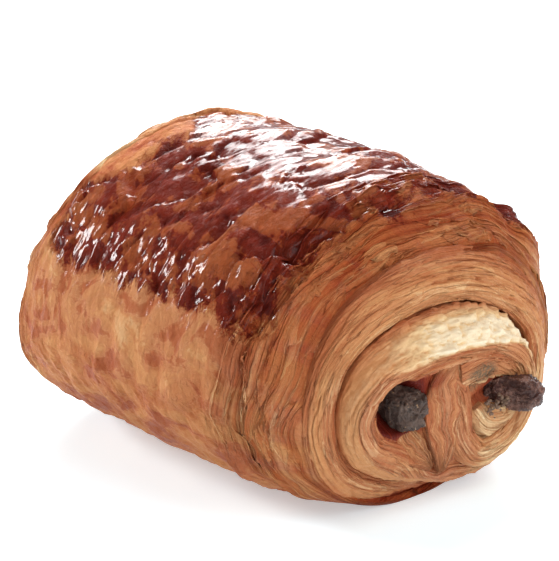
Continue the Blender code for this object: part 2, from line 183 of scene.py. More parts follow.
class Sheet:
    """Adds nodes to one node tree and links them."""

    def __init__(self, tree: bpy.types.NodeTree) -> None:
        """Take the tree that nodes are added to."""
        self.tree = tree

    def add(self, kind: str, **settings: object) -> bpy.types.Node:
        """Add a node.

        Args:
            kind: The node's type.
            **settings: Properties to set on it.

        Returns:
            The new node.
        """
        node = self.tree.nodes.new(kind)
        for key, value in settings.items():
            setattr(node, key, value)
        return node

    def feed(self, target: bpy.types.NodeSocket, source: object) -> None:
        """Link a socket to the target, or set a plain value on it.

        Args:
            target: The input that is fed.
            source: Socket to link, or value to set.
        """
        if isinstance(source, bpy.types.NodeSocket):
            self.tree.links.new(source, target)
        else:
            target.default_value = source

    def math(self, operation: str, first: object, second: object = 0.0,
             clamp: bool = False) -> bpy.types.NodeSocket:
        """Add a Math node.

        Args:
            operation: Its operation.
            first: Socket or number for its first input.
            second: Socket or number for its second input.
            clamp: Whether the result is kept from 0 to 1.

        Returns:
            The node's output.
        """
        node = self.add("ShaderNodeMath", operation=operation, use_clamp=clamp)
        self.feed(node.inputs[0], first)
        self.feed(node.inputs[1], second)
        return node.outputs[0]

    def total(self, *parts: object) -> bpy.types.NodeSocket:
        """Sum of two or more sockets or numbers."""
        return functools.reduce(functools.partial(self.math, "ADD"), parts)

    def minus(self, first: object, second: object) -> bpy.types.NodeSocket:
        """The first socket or number less the second."""
        return self.math("SUBTRACT", first, second)

    def times(self, first: object, second: object) -> bpy.types.NodeSocket:
        """Product of two sockets or numbers."""
        return self.math("MULTIPLY", first, second)

    def over(self, first: object, second: object) -> bpy.types.NodeSocket:
        """The first socket or number divided by the second."""
        return self.math("DIVIDE", first, second)

    def away(self, value: object, middle: float) -> bpy.types.NodeSocket:
        """How far a value lies from a middle, on either side."""
        return self.math("ABSOLUTE", self.minus(value, middle))

    def swing(self, value: object, amount: float) -> bpy.types.NodeSocket:
        """How far a noise lies above its middle, times an amount."""
        return self.times(self.minus(value, 0.5), amount)

    def span(self, value: object, low: float, high: float, start: float,
             end: float) -> bpy.types.NodeSocket:
        """Map a value from one range to another, kept inside it.

        Args:
            value: Socket or number to map.
            low: Value that maps to start.
            high: Value that maps to end.
            start: Lower result.
            end: Upper result.

        Returns:
            The node's output.
        """
        node = self.add("ShaderNodeMapRange", interpolation_type="SMOOTHSTEP")
        for socket, part in zip(node.inputs, (value, low, high, start, end)):
            self.feed(socket, part)
        return node.outputs[0]

    def blend(self, share: object, first: object, second: object) -> bpy.types.NodeSocket:
        """Mix two colours.

        Args:
            share: How much of the second colour there is.
            first: Colour or socket.
            second: Colour or socket.

        Returns:
            The mixed colour's socket.
        """
        node = self.add("ShaderNodeMix", data_type="RGBA")
        self.feed(node.inputs[0], share)
        self.feed(node.inputs[6], first)
        self.feed(node.inputs[7], second)
        return node.outputs[2]

    def attribute(self, name: str) -> bpy.types.NodeSocket:
        """The value of one of the piece's own attributes."""
        return self.add("ShaderNodeAttribute", attribute_name=name).outputs["Fac"]

    def vector(self, x: object, y: object, z: object = 0.0) -> bpy.types.NodeSocket:
        """A vector from three numbers or sockets.

        Args:
            x: Its first part.
            y: Its second part.
            z: Its third part.

        Returns:
            The vector's socket.
        """
        node = self.add("ShaderNodeCombineXYZ")
        for socket, part in zip(node.inputs, (x, y, z)):
            self.feed(socket, part)
        return node.outputs[0]

    def noise(self, vector: object, scale: float, detail: float = 3.0,
              rough: float = 0.55, warp: float = 0.0) -> bpy.types.NodeSocket:
        """Noise from 0 to 1.

        Args:
            vector: Where it is read.
            scale: Its scale.
            detail: Its number of octaves.
            rough: How strong the finer octaves are.
            warp: How far it is distorted.

        Returns:
            The value's socket.
        """
        node = self.add("ShaderNodeTexNoise", noise_dimensions="3D")
        self.feed(node.inputs["Vector"], vector)
        set_values(node, {"Scale": scale, "Detail": detail, "Roughness": rough, "Distortion": warp})
        return node.outputs["Fac"]

    def stretched(self, x: object, y: object, cell: tuple[float, float], layer: float = 0.0,
                  **settings: float) -> bpy.types.NodeSocket:
        """Noise from 0 to 1 whose cells are longer one way than the other.

        Args:
            x: Place one way over the surface, in millimetres.
            y: Place the other way, in millimetres.
            cell: Size of its cells each way.
            layer: Sets one noise apart from another.
            **settings: The noise's detail, rough and warp.

        Returns:
            The value's socket.
        """
        place = self.vector(self.over(x, cell[0]), self.over(y, cell[1]), layer)
        return self.noise(place, 1.0, **settings)

    def group(self, tree: bpy.types.NodeTree, **values: object) -> bpy.types.Node:
        """Place a node group.

        Args:
            tree: The group.
            **values: Socket or number for each named input.

        Returns:
            The group node.
        """
        node = self.add("ShaderNodeGroup", node_tree=tree)
        for key, value in values.items():
            self.feed(node.inputs[key], value)
        return node


def set_values(node: bpy.types.Node, values: dict[str, object]) -> None:
    """Set plain values on a node's own sockets."""
    for key, value in values.items():
        node.inputs[key].default_value = value


def new_group(
    name: str, inputs: dict[str, float], outputs: dict[str, str],
) -> tuple[bpy.types.NodeTree, Sheet, bpy.types.Node, bpy.types.Node]:
    """Start a shader node group.

    Args:
        name: Name of the group.
        inputs: Each input's name and first value.
        outputs: Each output's name and socket type.

    Returns:
        The tree, a sheet to add nodes with, and its input and output nodes.
    """
    tree = bpy.data.node_groups.new(name, "ShaderNodeTree")
    for key, value in inputs.items():
        socket = tree.interface.new_socket(name=key, in_out="INPUT", socket_type="NodeSocketFloat")
        socket.default_value = value
    for key, kind in outputs.items():
        tree.interface.new_socket(name=key, in_out="OUTPUT", socket_type=kind)
    sheet = Sheet(tree)
    return tree, sheet, sheet.add("NodeGroupInput"), sheet.add("NodeGroupOutput")


@dataclass(frozen=True)
class Browning:
    """The colours that dough passes through as it bakes, on golden and on ruddy skin."""

    steps: tuple[float, ...] = (0.0, 0.18, 0.36, 0.52, 0.68, 0.84, 1.0)
    golden: tuple[Tone, ...] = (
        (0.90, 0.80, 0.62), (0.78, 0.53, 0.28), (0.58, 0.255, 0.098), (0.45, 0.142, 0.048),
        (0.36, 0.082, 0.023), (0.24, 0.033, 0.008), (0.12, 0.009, 0.003),
    )
    ruddy: tuple[Tone, ...] = (
        (0.86, 0.70, 0.50), (0.68, 0.38, 0.21), (0.51, 0.195, 0.092), (0.40, 0.110, 0.045),
        (0.30, 0.054, 0.019), (0.19, 0.017, 0.006), (0.09, 0.005, 0.002),
    )

    def group(self) -> bpy.types.NodeTree:
        """The node group that turns how far dough is baked into its colour.

        Returns:
            The group.
        """
        tree, sheet, start, end = new_group(
            "browning", {"Bake": 0.5, "Ruddy": 0.3}, {"Color": "NodeSocketColor"},
        )
        colors = []
        for tones in (self.golden, self.ruddy):
            ramp = sheet.add("ShaderNodeValToRGB")
            sheet.feed(ramp.inputs[0], start.outputs["Bake"])
            stops = ramp.color_ramp.elements
            while len(stops) < len(self.steps):
                stops.new(0.5)
            for stop, place, tone in zip(stops, self.steps, tones):
                stop.position = place
                stop.color = (*tone, 1.0)
            colors.append(ramp.outputs[0])
        sheet.feed(end.inputs["Color"], sheet.blend(start.outputs["Ruddy"], *colors))
        return tree


@dataclass(frozen=True)
class Layering:
    """Fine lines and thin cracks where the edges of dough layers show, along the sheet."""

    pitch: float = 0.55
    run: float = 16.0
    broader: float = 0.32
    crack_width: float = 0.022

    def group(self) -> bpy.types.NodeTree:
        """The node group that draws the lines from a place along and across the sheet.

        Returns:
            The group.
        """
        tree, sheet, start, end = new_group(
            "layering", {"Along": 0.0, "Across": 0.0, "Pitch": self.pitch, "Run": self.run},
            {"Line": "NodeSocketFloat", "Crack": "NodeSocketFloat", "Band": "NodeSocketFloat"},
        )
        along = sheet.over(start.outputs["Along"], start.outputs["Run"])
        across = sheet.over(start.outputs["Across"], start.outputs["Pitch"])
        lines = sheet.noise(sheet.vector(across, along), 1.0, detail=3.0, rough=0.6, warp=0.3)
        broad = sheet.times(across, self.broader)
        seams = sheet.noise(sheet.vector(broad, along, 7.0), 1.0, detail=3.0, rough=0.5, warp=0.5)
        patchy = sheet.noise(sheet.vector(broad, sheet.times(along, 2.0), 11.0), 0.7)
        wide = sheet.span(patchy, 0.4, 0.62, self.crack_width * 0.3, self.crack_width * 1.6)
        crack = sheet.math("SUBTRACT", 1.0, sheet.over(sheet.away(seams, 0.5), wide), clamp=True)
        bands = sheet.noise(sheet.vector(broad, along, 19.0), 0.8, detail=2.0)
        sheet.feed(end.inputs["Line"], sheet.span(lines, 0.34, 0.64, 0.0, 1.0))
        sheet.feed(end.inputs["Crack"], crack)
        sheet.feed(end.inputs["Band"], bands)
        return tree


def principled(material: bpy.types.Material) -> tuple[Sheet, bpy.types.Node]:
    """A sheet on a material's tree, and its Principled shader."""
    material.use_nodes = True
    return Sheet(material.node_tree), material.node_tree.nodes["Principled BSDF"]


def add_bump(sheet: Sheet, shader: bpy.types.Node, height: object, depth: float) -> None:
    """Feed a height through a Bump node into the shader's normal.

    Args:
        sheet: The material's sheet.
        shader: The Principled shader.
        height: Socket of the height, from 0 to 1.
        depth: Depth of the relief in millimetres.
    """
    bump = sheet.add("ShaderNodeBump")
    set_values(bump, {"Distance": depth * MM, "Strength": 1.0})
    sheet.feed(bump.inputs["Height"], height)
    sheet.feed(shader.inputs["Normal"], bump.outputs[0])


@dataclass(frozen=True)
class SkinPattern:
    """What the crust's finish is worked out from: places on the skin and noises over it."""

    length: bpy.types.NodeSocket
    girth: bpy.types.NodeSocket
    rim: bpy.types.NodeSocket
    patch: bpy.types.NodeSocket
    fine: bpy.types.NodeSocket
    broad: bpy.types.NodeSocket


@dataclass(frozen=True)
class CrustFinish:
    """Egg-glazed crust: glossy mahogany where the glaze lay, drier and golden on the sides."""

    streak_lean: float = -0.45
    edge_wander: float = 9.0
    top_bake: float = 0.665
    top_block: float = 0.17
    top_mottle: float = 0.16
    block_edge: tuple[float, float] = (0.47, 0.52)
    raised_paler: float = 0.05
    side_mottle: float = 0.18
    rim_calm: float = 0.9
    grain: float = 0.09
    # Painted shade in the creases, cracks and torn edges.
    painted_crevice_shade: float = 0.13
    layer_pitch: float = 0.5
    layer_run: float = 34.0
    layer_drift: float = 3.0
    glaze_coat: float = 0.85
    facet: tuple[float, float] = (1.25, 1.9)
    bump_mm: float = 0.7

    def build(self, browning: bpy.types.NodeTree, layering: bpy.types.NodeTree) -> bpy.types.Material:
        """Make the material.

        Args:
            browning: The group that colours baked dough.
            layering: The group that draws the layers' edges.

        Returns:
            The material.
        """
        material = bpy.data.materials.new("baked_crust_skin")
        sheet, shader = principled(material)
        skin = self.pattern(sheet)
        glaze = self.glaze(sheet, skin)
        block = self.block(sheet, skin)
        drift = sheet.stretched(skin.length, skin.girth, (20.0, 17.0), 9.0, detail=0.0)
        wavy = sheet.total(skin.length, sheet.swing(drift, self.layer_drift))
        layers = sheet.group(layering, Along=skin.girth, Across=wavy, Pitch=self.layer_pitch,
                             Run=self.layer_run)
        side, top = self.side_level(sheet, skin, layers), self.top_level(sheet, skin, block)
        level = sheet.total(side, sheet.times(sheet.minus(top, side), glaze))
        # Painted shade: the skin is darkened in its creases, cracks and torn edges.
        line = sheet.times(sheet.attribute("line"), self.painted_crevice_shade)
        level = sheet.math("ADD", level, line, clamp=True)
        ruddy = sheet.total(
            sheet.span(skin.broad, 0.40, 0.62, 0.1, 0.8),
            sheet.times(glaze, sheet.span(block, *self.block_edge, 0.1, 0.4)),
        )
        banded = sheet.times(sheet.swing(layers.outputs["Band"], 1.6), skin.rim)
        ruddy = sheet.math("ADD", ruddy, banded, clamp=True)
        tone = sheet.group(browning, Bake=level, Ruddy=ruddy)
        sheet.feed(shader.inputs["Base Color"], tone.outputs["Color"])
        dry = sheet.span(skin.fine, 0.3, 0.7, 0.5, 0.64)
        sheet.feed(shader.inputs["Roughness"], sheet.minus(dry, sheet.times(glaze, 0.2)))
        shine = sheet.times(glaze, sheet.span(skin.patch, 0.3, 0.6, 0.7, self.glaze_coat))
        buttery = sheet.span(skin.broad, 0.5, 0.62, 0.04, 0.22)
        sheet.feed(shader.inputs["Coat Weight"], sheet.math("MAXIMUM", shine, buttery))
        set_values(shader, {"Coat Roughness": 0.12, "Coat IOR": 1.3, "IOR": 1.3,
                            "Specular IOR Level": 0.12})
        add_bump(sheet, shader, self.relief(sheet, skin, layers, glaze), self.bump_mm)
        return material

    def pattern(self, sheet: Sheet) -> SkinPattern:
        """Add the nodes that the other parts of the finish are worked out from.

        Args:
            sheet: The material's sheet.

        Returns:
            Their sockets.
        """
        length, girth, rim = (sheet.attribute(key) for key in ("length", "girth", "rim"))
        # Streaks run round the roll and lean a little, rising towards the far end.
        lean = sheet.total(length, sheet.times(girth, self.streak_lean))
        return SkinPattern(
            length, girth, rim,
            patch=sheet.stretched(lean, girth, (2.0, 6.5), detail=4.0, rough=0.6, warp=0.7),
            fine=sheet.stretched(length, girth, (0.5, 0.9), 6.0, detail=4.0, rough=0.65, warp=1.0),
            broad=sheet.stretched(length, girth, (11.0, 9.0), 6.0, detail=5.0, rough=0.62, warp=0.8),
        )

    def glaze(self, sheet: Sheet, skin: SkinPattern) -> bpy.types.NodeSocket:
        """Mask of the glazed skin, whose edge is torn by the streaks.

        Args:
            sheet: The material's sheet.
            skin: The crust's pattern.

        Returns:
            The mask's socket.
        """
        depth = sheet.total(sheet.attribute("glaze"), sheet.swing(skin.patch, self.edge_wander),
                            sheet.swing(skin.fine, self.edge_wander * 0.5))
        return sheet.span(depth, -0.9, 1.1, 0.0, 1.0)

    def block(self, sheet: Sheet, skin: SkinPattern) -> bpy.types.NodeSocket:
        """Pattern whose lower side is the paler blocks of the glazed top, where it is raised."""
        block = sheet.total(skin.broad, sheet.swing(skin.patch, 0.25))
        return sheet.minus(block, sheet.times(sheet.attribute("height"), self.raised_paler))

    def top_level(self, sheet: Sheet, skin: SkinPattern, block: object) -> bpy.types.NodeSocket:
        """How far the glazed top is baked.

        Args:
            sheet: The material's sheet.
            skin: The crust's pattern.
            block: The pattern of its paler blocks.

        Returns:
            The value's socket.
        """
        top = sheet.total(
            self.top_bake, sheet.span(block, *self.block_edge, 0.0, self.top_block),
            sheet.swing(skin.patch, self.top_mottle), sheet.swing(skin.fine, self.grain),
        )
        return sheet.minus(top, sheet.times(sheet.attribute("height"), self.raised_paler))

    def side_level(self, sheet: Sheet, skin: SkinPattern,
                   layers: bpy.types.Node) -> bpy.types.NodeSocket:
        """How far the dry sides are baked, with the layers' lines along the rims.

        Args:
            sheet: The material's sheet.
            skin: The crust's pattern.
            layers: The placed layering group.

        Returns:
            The value's socket.
        """
        mottle = sheet.total(self.peeled(sheet, skin), sheet.swing(skin.patch, self.side_mottle))
        calm = sheet.minus(1.0, sheet.times(skin.rim, self.rim_calm))
        lined = sheet.total(
            sheet.times(layers.outputs["Crack"], 0.08), sheet.swing(layers.outputs["Line"], -0.17),
            sheet.swing(layers.outputs["Band"], -0.3),
        )
        return sheet.total(sheet.attribute("bake"), sheet.times(mottle, calm),
                           sheet.swing(skin.fine, self.grain), sheet.times(lined, skin.rim))

    def peeled(self, sheet: Sheet, skin: SkinPattern) -> bpy.types.NodeSocket:
        """Change of bake where thin sheets have peeled, with a pale line along their edges.

        Args:
            sheet: The material's sheet.
            skin: The crust's pattern.

        Returns:
            The value's socket.
        """
        value = sheet.total(skin.broad, sheet.swing(skin.patch, 0.12))
        return sheet.total(
            sheet.span(value, 0.42, 0.49, -0.06, 0.0), sheet.span(value, 0.53, 0.60, 0.0, 0.12),
            sheet.span(sheet.away(value, 0.54), 0.0, 0.012, -0.05, 0.0),
        )

    def relief(self, sheet: Sheet, skin: SkinPattern, layers: bpy.types.Node,
               glaze: object) -> bpy.types.NodeSocket:
        """The finest relief: ribs, cracked facets of glaze, and the layers' edges at the rims.

        Args:
            sheet: The material's sheet.
            skin: The crust's pattern.
            layers: The placed layering group.
            glaze: Mask of the glazed skin.

        Returns:
            The height's socket.
        """
        ribs = sheet.stretched(skin.length, skin.girth, (0.9, 1.7), 5.0, detail=4.0, rough=0.62,
                               warp=0.7)
        warp = sheet.swing(skin.fine, 2.2)
        facets = sheet.add("ShaderNodeTexVoronoi", feature="F1")
        set_values(facets, {"Scale": 1.0})
        sheet.feed(facets.inputs["Vector"], sheet.vector(
            sheet.total(sheet.over(skin.length, self.facet[0]), warp),
            sheet.minus(sheet.over(skin.girth, self.facet[1]), warp)))
        edges = sheet.minus(layers.outputs["Line"], layers.outputs["Crack"])
        return sheet.total(
            ribs, sheet.times(skin.fine, 0.4),
            sheet.times(facets.outputs["Distance"], sheet.times(glaze, 0.75)),
            sheet.times(edges, sheet.times(skin.rim, 0.6)),
        )


@dataclass(frozen=True)
class DoughFinish:
    """Cut ends of the laminated sheet: dry, matte, with the edges of its layers as fine lines."""

    layer_pitch: float = 0.46
    layer_run: float = 18.0
    layer_bake: float = 0.13
    crack_bake: float = 0.04
    band_bake: float = 0.2
    # Painted shade in the gaps between layers and the puckers' valleys.
    painted_crevice_shade: float = 0.12
    grain: float = 0.16
    bump_mm: float = 0.2
    stain: Tone = (0.17, 0.105, 0.06)

    def build(self, browning: bpy.types.NodeTree, layering: bpy.types.NodeTree) -> bpy.types.Material:
        """Make the material.

        Args:
            browning: The group that colours baked dough.
            layering: The group that draws the layers' edges.

        Returns:
            The material.
        """
        material = bpy.data.materials.new("laminated_dough")
        sheet, shader = principled(material)
        along, across, lined = (sheet.attribute(key) for key in ("along", "across", "lined"))
        layers = sheet.group(layering, Along=along, Across=across, Pitch=self.layer_pitch,
                             Run=self.layer_run)
        line, crack, band = (layers.outputs[key] for key in ("Line", "Crack", "Band"))
        place = sheet.vector(along, across)
        speck = sheet.noise(place, 1.3, detail=5.0, rough=0.68)
        lines = sheet.total(sheet.swing(line, -self.layer_bake), sheet.times(crack, self.crack_bake))
        level = sheet.total(
            sheet.attribute("bake"), sheet.times(lines, lined), sheet.swing(band, -self.band_bake),
            sheet.swing(speck, self.grain), sheet.times(lined, self.overlaps(sheet, along, across)),
        )
        # Painted shade: darker in the gaps between layers and in the puckers' valleys.
        gaps = sheet.times(sheet.attribute("line"), self.painted_crevice_shade)
        level = sheet.math("ADD", level, gaps, clamp=True)
        ruddy = sheet.math("ADD", sheet.attribute("ruddy"), sheet.swing(band, 1.4), clamp=True)
        tone = sheet.group(browning, Bake=level, Ruddy=ruddy)
        blotch = sheet.span(sheet.noise(place, 1.9, detail=4.0), 0.34, 0.6, 0.3, 1.0)
        stained = sheet.times(sheet.attribute("stain"), blotch)
        color = sheet.blend(stained, tone.outputs["Color"], (*self.stain, 1.0))
        sheet.feed(shader.inputs["Base Color"], color)
        sheet.feed(shader.inputs["Roughness"], sheet.span(speck, 0.3, 0.7, 0.48, 0.66))
        set_values(shader, {"IOR": 1.4, "Specular IOR Level": 0.3})
        edges = sheet.minus(line, sheet.times(crack, 1.5))
        height = sheet.total(sheet.times(edges, lined), sheet.times(speck, 1.4))
        add_bump(sheet, shader, height, self.bump_mm)
        return material

    def overlaps(self, sheet: Sheet, along: object, across: object) -> bpy.types.NodeSocket:
        """Change of bake where one torn sheet of the dough lies over the next, with painted shade
        along its edge.

        Args:
            sheet: The material's sheet.
            along: Place along the sheet, in millimetres.
            across: Place across its layers, in millimetres.

        Returns:
            The value's socket.
        """
        value = sheet.stretched(along, across, (9.0, 2.6), 23.0, detail=5.0, rough=0.6, warp=0.9)
        # The last term is a thin line of painted shade along the upper sheet's edge.
        return sheet.total(
            sheet.span(value, 0.455, 0.475, 0.045, 0.0), sheet.span(value, 0.55, 0.57, 0.0, -0.07),
            sheet.span(sheet.away(value, 0.545), 0.0, 0.016, 0.06, 0.0),
        )


@dataclass(frozen=True)
class ChocolateFinish:
    """Chocolate that has baked and cooled: dark and rough, with dusty patches and crumbs; on the
    right stick the patches are a painted reddish sheen as well as dust.
    """

    name: str
    dark: Tone
    bloom_and_sheen_tone: Tone
    crumb: Tone = (0.42, 0.25, 0.13)
    cover: float = 0.5
    crumbs: float = 0.3
    roughness: float = 0.5
    speck_scale: tuple[float, float, float] = (1100.0, 1300.0, 1200.0)
    speck_turn: tuple[float, float, float] = (0.4, 0.9, 0.2)
    bump_mm: float = 0.55

    def build(self) -> bpy.types.Material:
        """Make the material.

        Returns:
            The material.
        """
        material = bpy.data.materials.new(self.name)
        sheet, shader = principled(material)
        place = sheet.add("ShaderNodeTexCoord").outputs["Object"]
        dust = sheet.noise(place, 900.0, detail=6.0, rough=0.75)
        cloud = sheet.noise(place, 230.0, detail=3.0)
        low = 0.72 - self.cover * 0.5
        dusty = sheet.total(sheet.times(dust, 0.55), sheet.times(cloud, 0.45))
        share = sheet.span(dusty, low - 0.10, low + 0.12, 0.0, 1.0)
        # The paler patches are dust, and on the right stick a painted reddish sheen as well.
        color = sheet.blend(share, (*self.dark, 1.0), (*self.bloom_and_sheen_tone, 1.0))
        fewest = 0.72 - 0.12 * self.crumbs
        loose = sheet.span(self.specks(sheet, place), fewest, fewest + 0.06, 0.0, 1.0)
        color = sheet.blend(loose, color, (*self.crumb, 1.0))
        sheet.feed(shader.inputs["Base Color"], color)
        sheet.feed(shader.inputs["Roughness"], sheet.span(
            share, 0.0, 1.0, self.roughness - 0.22, self.roughness + 0.25))
        set_values(shader, {"IOR": 1.45, "Specular IOR Level": 0.5})
        add_bump(sheet, shader, dust, self.bump_mm)
        return material

    def specks(self, sheet: Sheet, place: bpy.types.NodeSocket) -> bpy.types.NodeSocket:
        """Noise for the loose specks, turned away from the bloom's.

        Args:
            sheet: The material's sheet.
            place: Where the noise is read.

        Returns:
            The value's socket.
        """
        mapping = sheet.add("ShaderNodeMapping")
        set_values(mapping, {"Scale": self.speck_scale, "Rotation": self.speck_turn})
        sheet.feed(mapping.inputs["Vector"], place)
        return sheet.noise(mapping.outputs[0], 1.0)


# --- Crust --------------------------------------------------------------------------------


@dataclass
class Crust:
    """The puffed outer skin of the roll, from rim to rim, with the plugs inside its rims."""

    # Form of the section and of the rims, and each rim step's x from the rim and outline.
    rim_x: dict[End, float] = per_end(34.0, 37.2)
    rim_width: dict[End, float] = per_end(59.5, 66.0)
    rim_height: dict[End, float] = per_end(44.5, 49.0)
    rim_shift: tuple[float, float] = (0.5, 7.5)
    width: float = 80.0
    height: float = 57.0
    shoulder_power: float = 5.5
    waist: float = 0.43
    top_power: float = 2.0
    base_power: tuple[float, float] = (1.75, 1.9)
    base_sag: float = 1.03
    rim_steps: tuple[tuple[float, float], ...] = (
        (0.0, 1.0), (0.3, 0.996), (0.6, 0.985), (0.75, 0.975), (0.8, 0.965), (0.7, 0.955),
        (0.5, 0.945), (0.3, 0.937), (0.1, 0.93), (-0.1, 0.8), (-0.2, 0.6), (-0.3, 0.3),
    )
    plug_x: float = -0.3
    skin_radius: float = 34.0
    # Relief: sizes and heights of what runs over the skin.
    wrinkle_height: float = 0.9
    wrinkle_length: float = 13.0
    wrinkle_width: float = 4.6
    top_share: float = 0.7
    crease_depth: float = 0.28
    billow_height: float = 0.9
    ridge_height: float = 0.38
    small_height: float = 0.14
    top_grain: float = 0.12
    sheet_step: float = 0.17
    pucker_height: float = 0.16
    side_grain: float = 0.07
    strand_height: float = 0.20
    strong_height: float = 0.34
    flake_lift: dict[End, float] = per_end(1.7, 0.5)
    flake_pitch: float = 5.4
    flake_zone: float = 14.0
    strands: dict[End, float] = per_end(1.0, 0.4)
    # Each blister's x, angle in degrees, half length, half width and rise.
    blisters: tuple[tuple[float, float, float, float, float], ...] = (
        (27.5, 34.0, 5.5, 8.0, 1.8), (-31.0, 120.0, 6.0, 10.0, 0.2),
    )
    # Where the glaze lies, how far the rest is baked, from 0 to 1, and how much painted shade darkens
    # the plugs inside the rims.
    glazed_half: float = 37.0
    glazed_x: tuple[float, float] = (-26.5, 28.0)
    strip_inset: float = 7.0
    side_baked: tuple[float, float] = (0.49, 0.40)
    rim_baked: dict[End, float] = per_end(0.47, 0.44)
    rim_baked_to: dict[End, float] = per_end(0.7, 0.35)
    upper_rim_darker: float = 0.13
    strip_baked: float = 0.30
    stripes_baked: float = 0.62
    base_darker: float = 0.22
    painted_plug_shade: float = 0.3
    # Fineness of the mesh.
    rings: int = 340
    segments: int = 280

    def point(self, x: float, angle: float, outline: float = 1.0) -> tuple[float, float]:
        """Point (y, z) of the crust's section.

        Args:
            x: Where along the roll.
            angle: Where round it.
            outline: Size of the outline about its own middle.

        Returns:
            The point, without relief.
        """
        end = End.NEAR if x > 0 else End.FAR
        k = min(abs(x) / self.rim_x[end], 1.0) ** self.shoulder_power
        half_width = mix(self.width, self.rim_width[end], k) / 2
        height = mix(self.height, self.rim_height[end], k)
        middle = self.waist * height
        if math.sin(angle) >= 0:
            c, s = superellipse(angle, self.top_power)
            rise = (height - middle) * s
        else:
            c, s = superellipse(angle, mix(*self.base_power, k))
            rise = middle * self.base_sag * s
        z = middle + rise * outline
        return mix(*self.rim_shift, z / height) * k + half_width * c * outline, z

    def out(self, x: float, angle: float) -> Vector:
        """Outward direction of the section at a point, across the roll.

        Args:
            x: Where along the roll.
            angle: Where round it.

        Returns:
            The direction, of length 1.
        """
        y, z = self.point(x, angle)
        y2, z2 = self.point(x, angle + 0.01)
        return Vector((0.0, z2 - z, y - y2)).normalized()

    def glazed(self, x: float, angle: float) -> float:
        """How far in millimetres a point lies inside the glazed top's edge.

        Args:
            x: Where along the roll.
            angle: Where round it.

        Returns:
            The distance, under 0 outside of the edge.
        """
        s = (angle - math.pi / 2) * self.skin_radius
        side = self.glazed_half - abs(s) + 3.0 * ripple(x / 7.0, math.copysign(3.0, s), 2.0)
        far, near = self.glazed_x
        from_far = x - far + 3.5 * ripple(s / 9.0, 1.0, 8.0)
        from_far -= self.strip_inset * smooth(13.0, 7.0, abs(s - 12.0))
        from_near = near - x + 2.5 * ripple(s / 8.0, 4.0, 8.0)
        return max(-12.0, min(12.0, side, from_far, from_near))

    def plates(self, x: float, s: float) -> tuple[float, float]:
        """Plates that the glaze has cracked and blistered into, each with its own tilt.

        Args:
            x: Where along the roll.
            s: Distance round it.

        Returns:
            The height of the plate there, and 1 on the crease between two plates.
        """
        warp_x = 0.45 * ripple(x / 6.0, s / 9.0, 11.0) + 0.22 * ripple(x / 1.9, s / 3.0, 12.0)
        warp_s = 0.40 * ripple(x / 7.0, s / 8.0, 13.0) + 0.18 * ripple(x / 2.2, s / 2.6, 14.0)
        place = Vector((x / 6.8 + s / 40.0 + warp_x, s / 11.5 + warp_s, 2.0))
        near, points = noise.voronoi(place)
        seed = points[0] * 7.31
        tilt_x, tilt_s = 2 * noise.cell(seed) - 1, 2 * noise.cell(seed + Vector((5, 9, 2))) - 1
        away = place - points[0]
        height = 0.75 * tilt_x * away.x + 0.7 * tilt_s * away.y
        height += 0.25 * (2 * noise.cell(seed + Vector((1, 3, 8))) - 1)
        return height, smooth(0.10, 0.0, near[1] - near[0])

    def top_relief(self, x: float, s: float) -> tuple[float, float]:
        """Relief of the glazed top: buckled plates, billows between creases, fine wrinkles.

        Args:
            x: Where along the roll.
            s: Distance round it.

        Returns:
            The height, and 1 in the creases.
        """
        bend = 1.1 * ripple(x / 8.0, s / 12.0, 5.0)
        plate, crease = self.plates(x, s)
        wrinkled = smooth(-0.25, 0.45, ripple(x / 13.0, s / 16.0, 17.0)
                          + 0.5 * smooth(6.0, 0.0, self.glazed(x, s / self.skin_radius)))
        billow = abs(ripple(x / 3.2 + s / 30.0 + bend, s / 6.5, 21.0))
        ridge = crest(ripple(x / 2.3 + s / 22.0 + bend, s / 5.0, 31.0), 2.6)
        small = crest(ripple(x / 1.3 + bend * 1.5, s / 2.4, 35.0), 2.2)
        fine = ripple(x / 0.8 + bend, s / 1.6, 41.0)
        wrinkles = self.billow_height * billow + self.ridge_height * ridge - 0.3
        height = plate - self.crease_depth * crease + wrinkled * wrinkles
        return height + self.small_height * small + self.top_grain * fine - 0.2, crease

    def side_relief(self, x: float, s: float) -> tuple[float, float]:
        """Relief of the dry sides: thin sheets that end in torn edges, and soft puckers.

        Args:
            x: Where along the roll.
            s: Distance round it.

        Returns:
            The height, and 1 along the torn edges.
        """
        bend = 1.4 * ripple(x / 9.0, s / 14.0, 5.0)
        layers = 2.4 * ripple(x / 6.0 + bend, s / 8.0, 51.0) + 0.9 * ripple(x / 1.7, s / 2.8, 55.0)
        step = layers - math.floor(layers)
        sheet = math.floor(layers) + smooth(0.0, 0.12, step)
        pucker = crest(ripple((x - 0.45 * s) / 2.2 + bend, s / 6.0, 31.0), 2.2)
        fine = ripple(x / 0.9, s / 1.7, 41.0)
        height = self.sheet_step * sheet + self.pucker_height * pucker + self.side_grain * fine
        return height, smooth(0.14, 0.0, step)

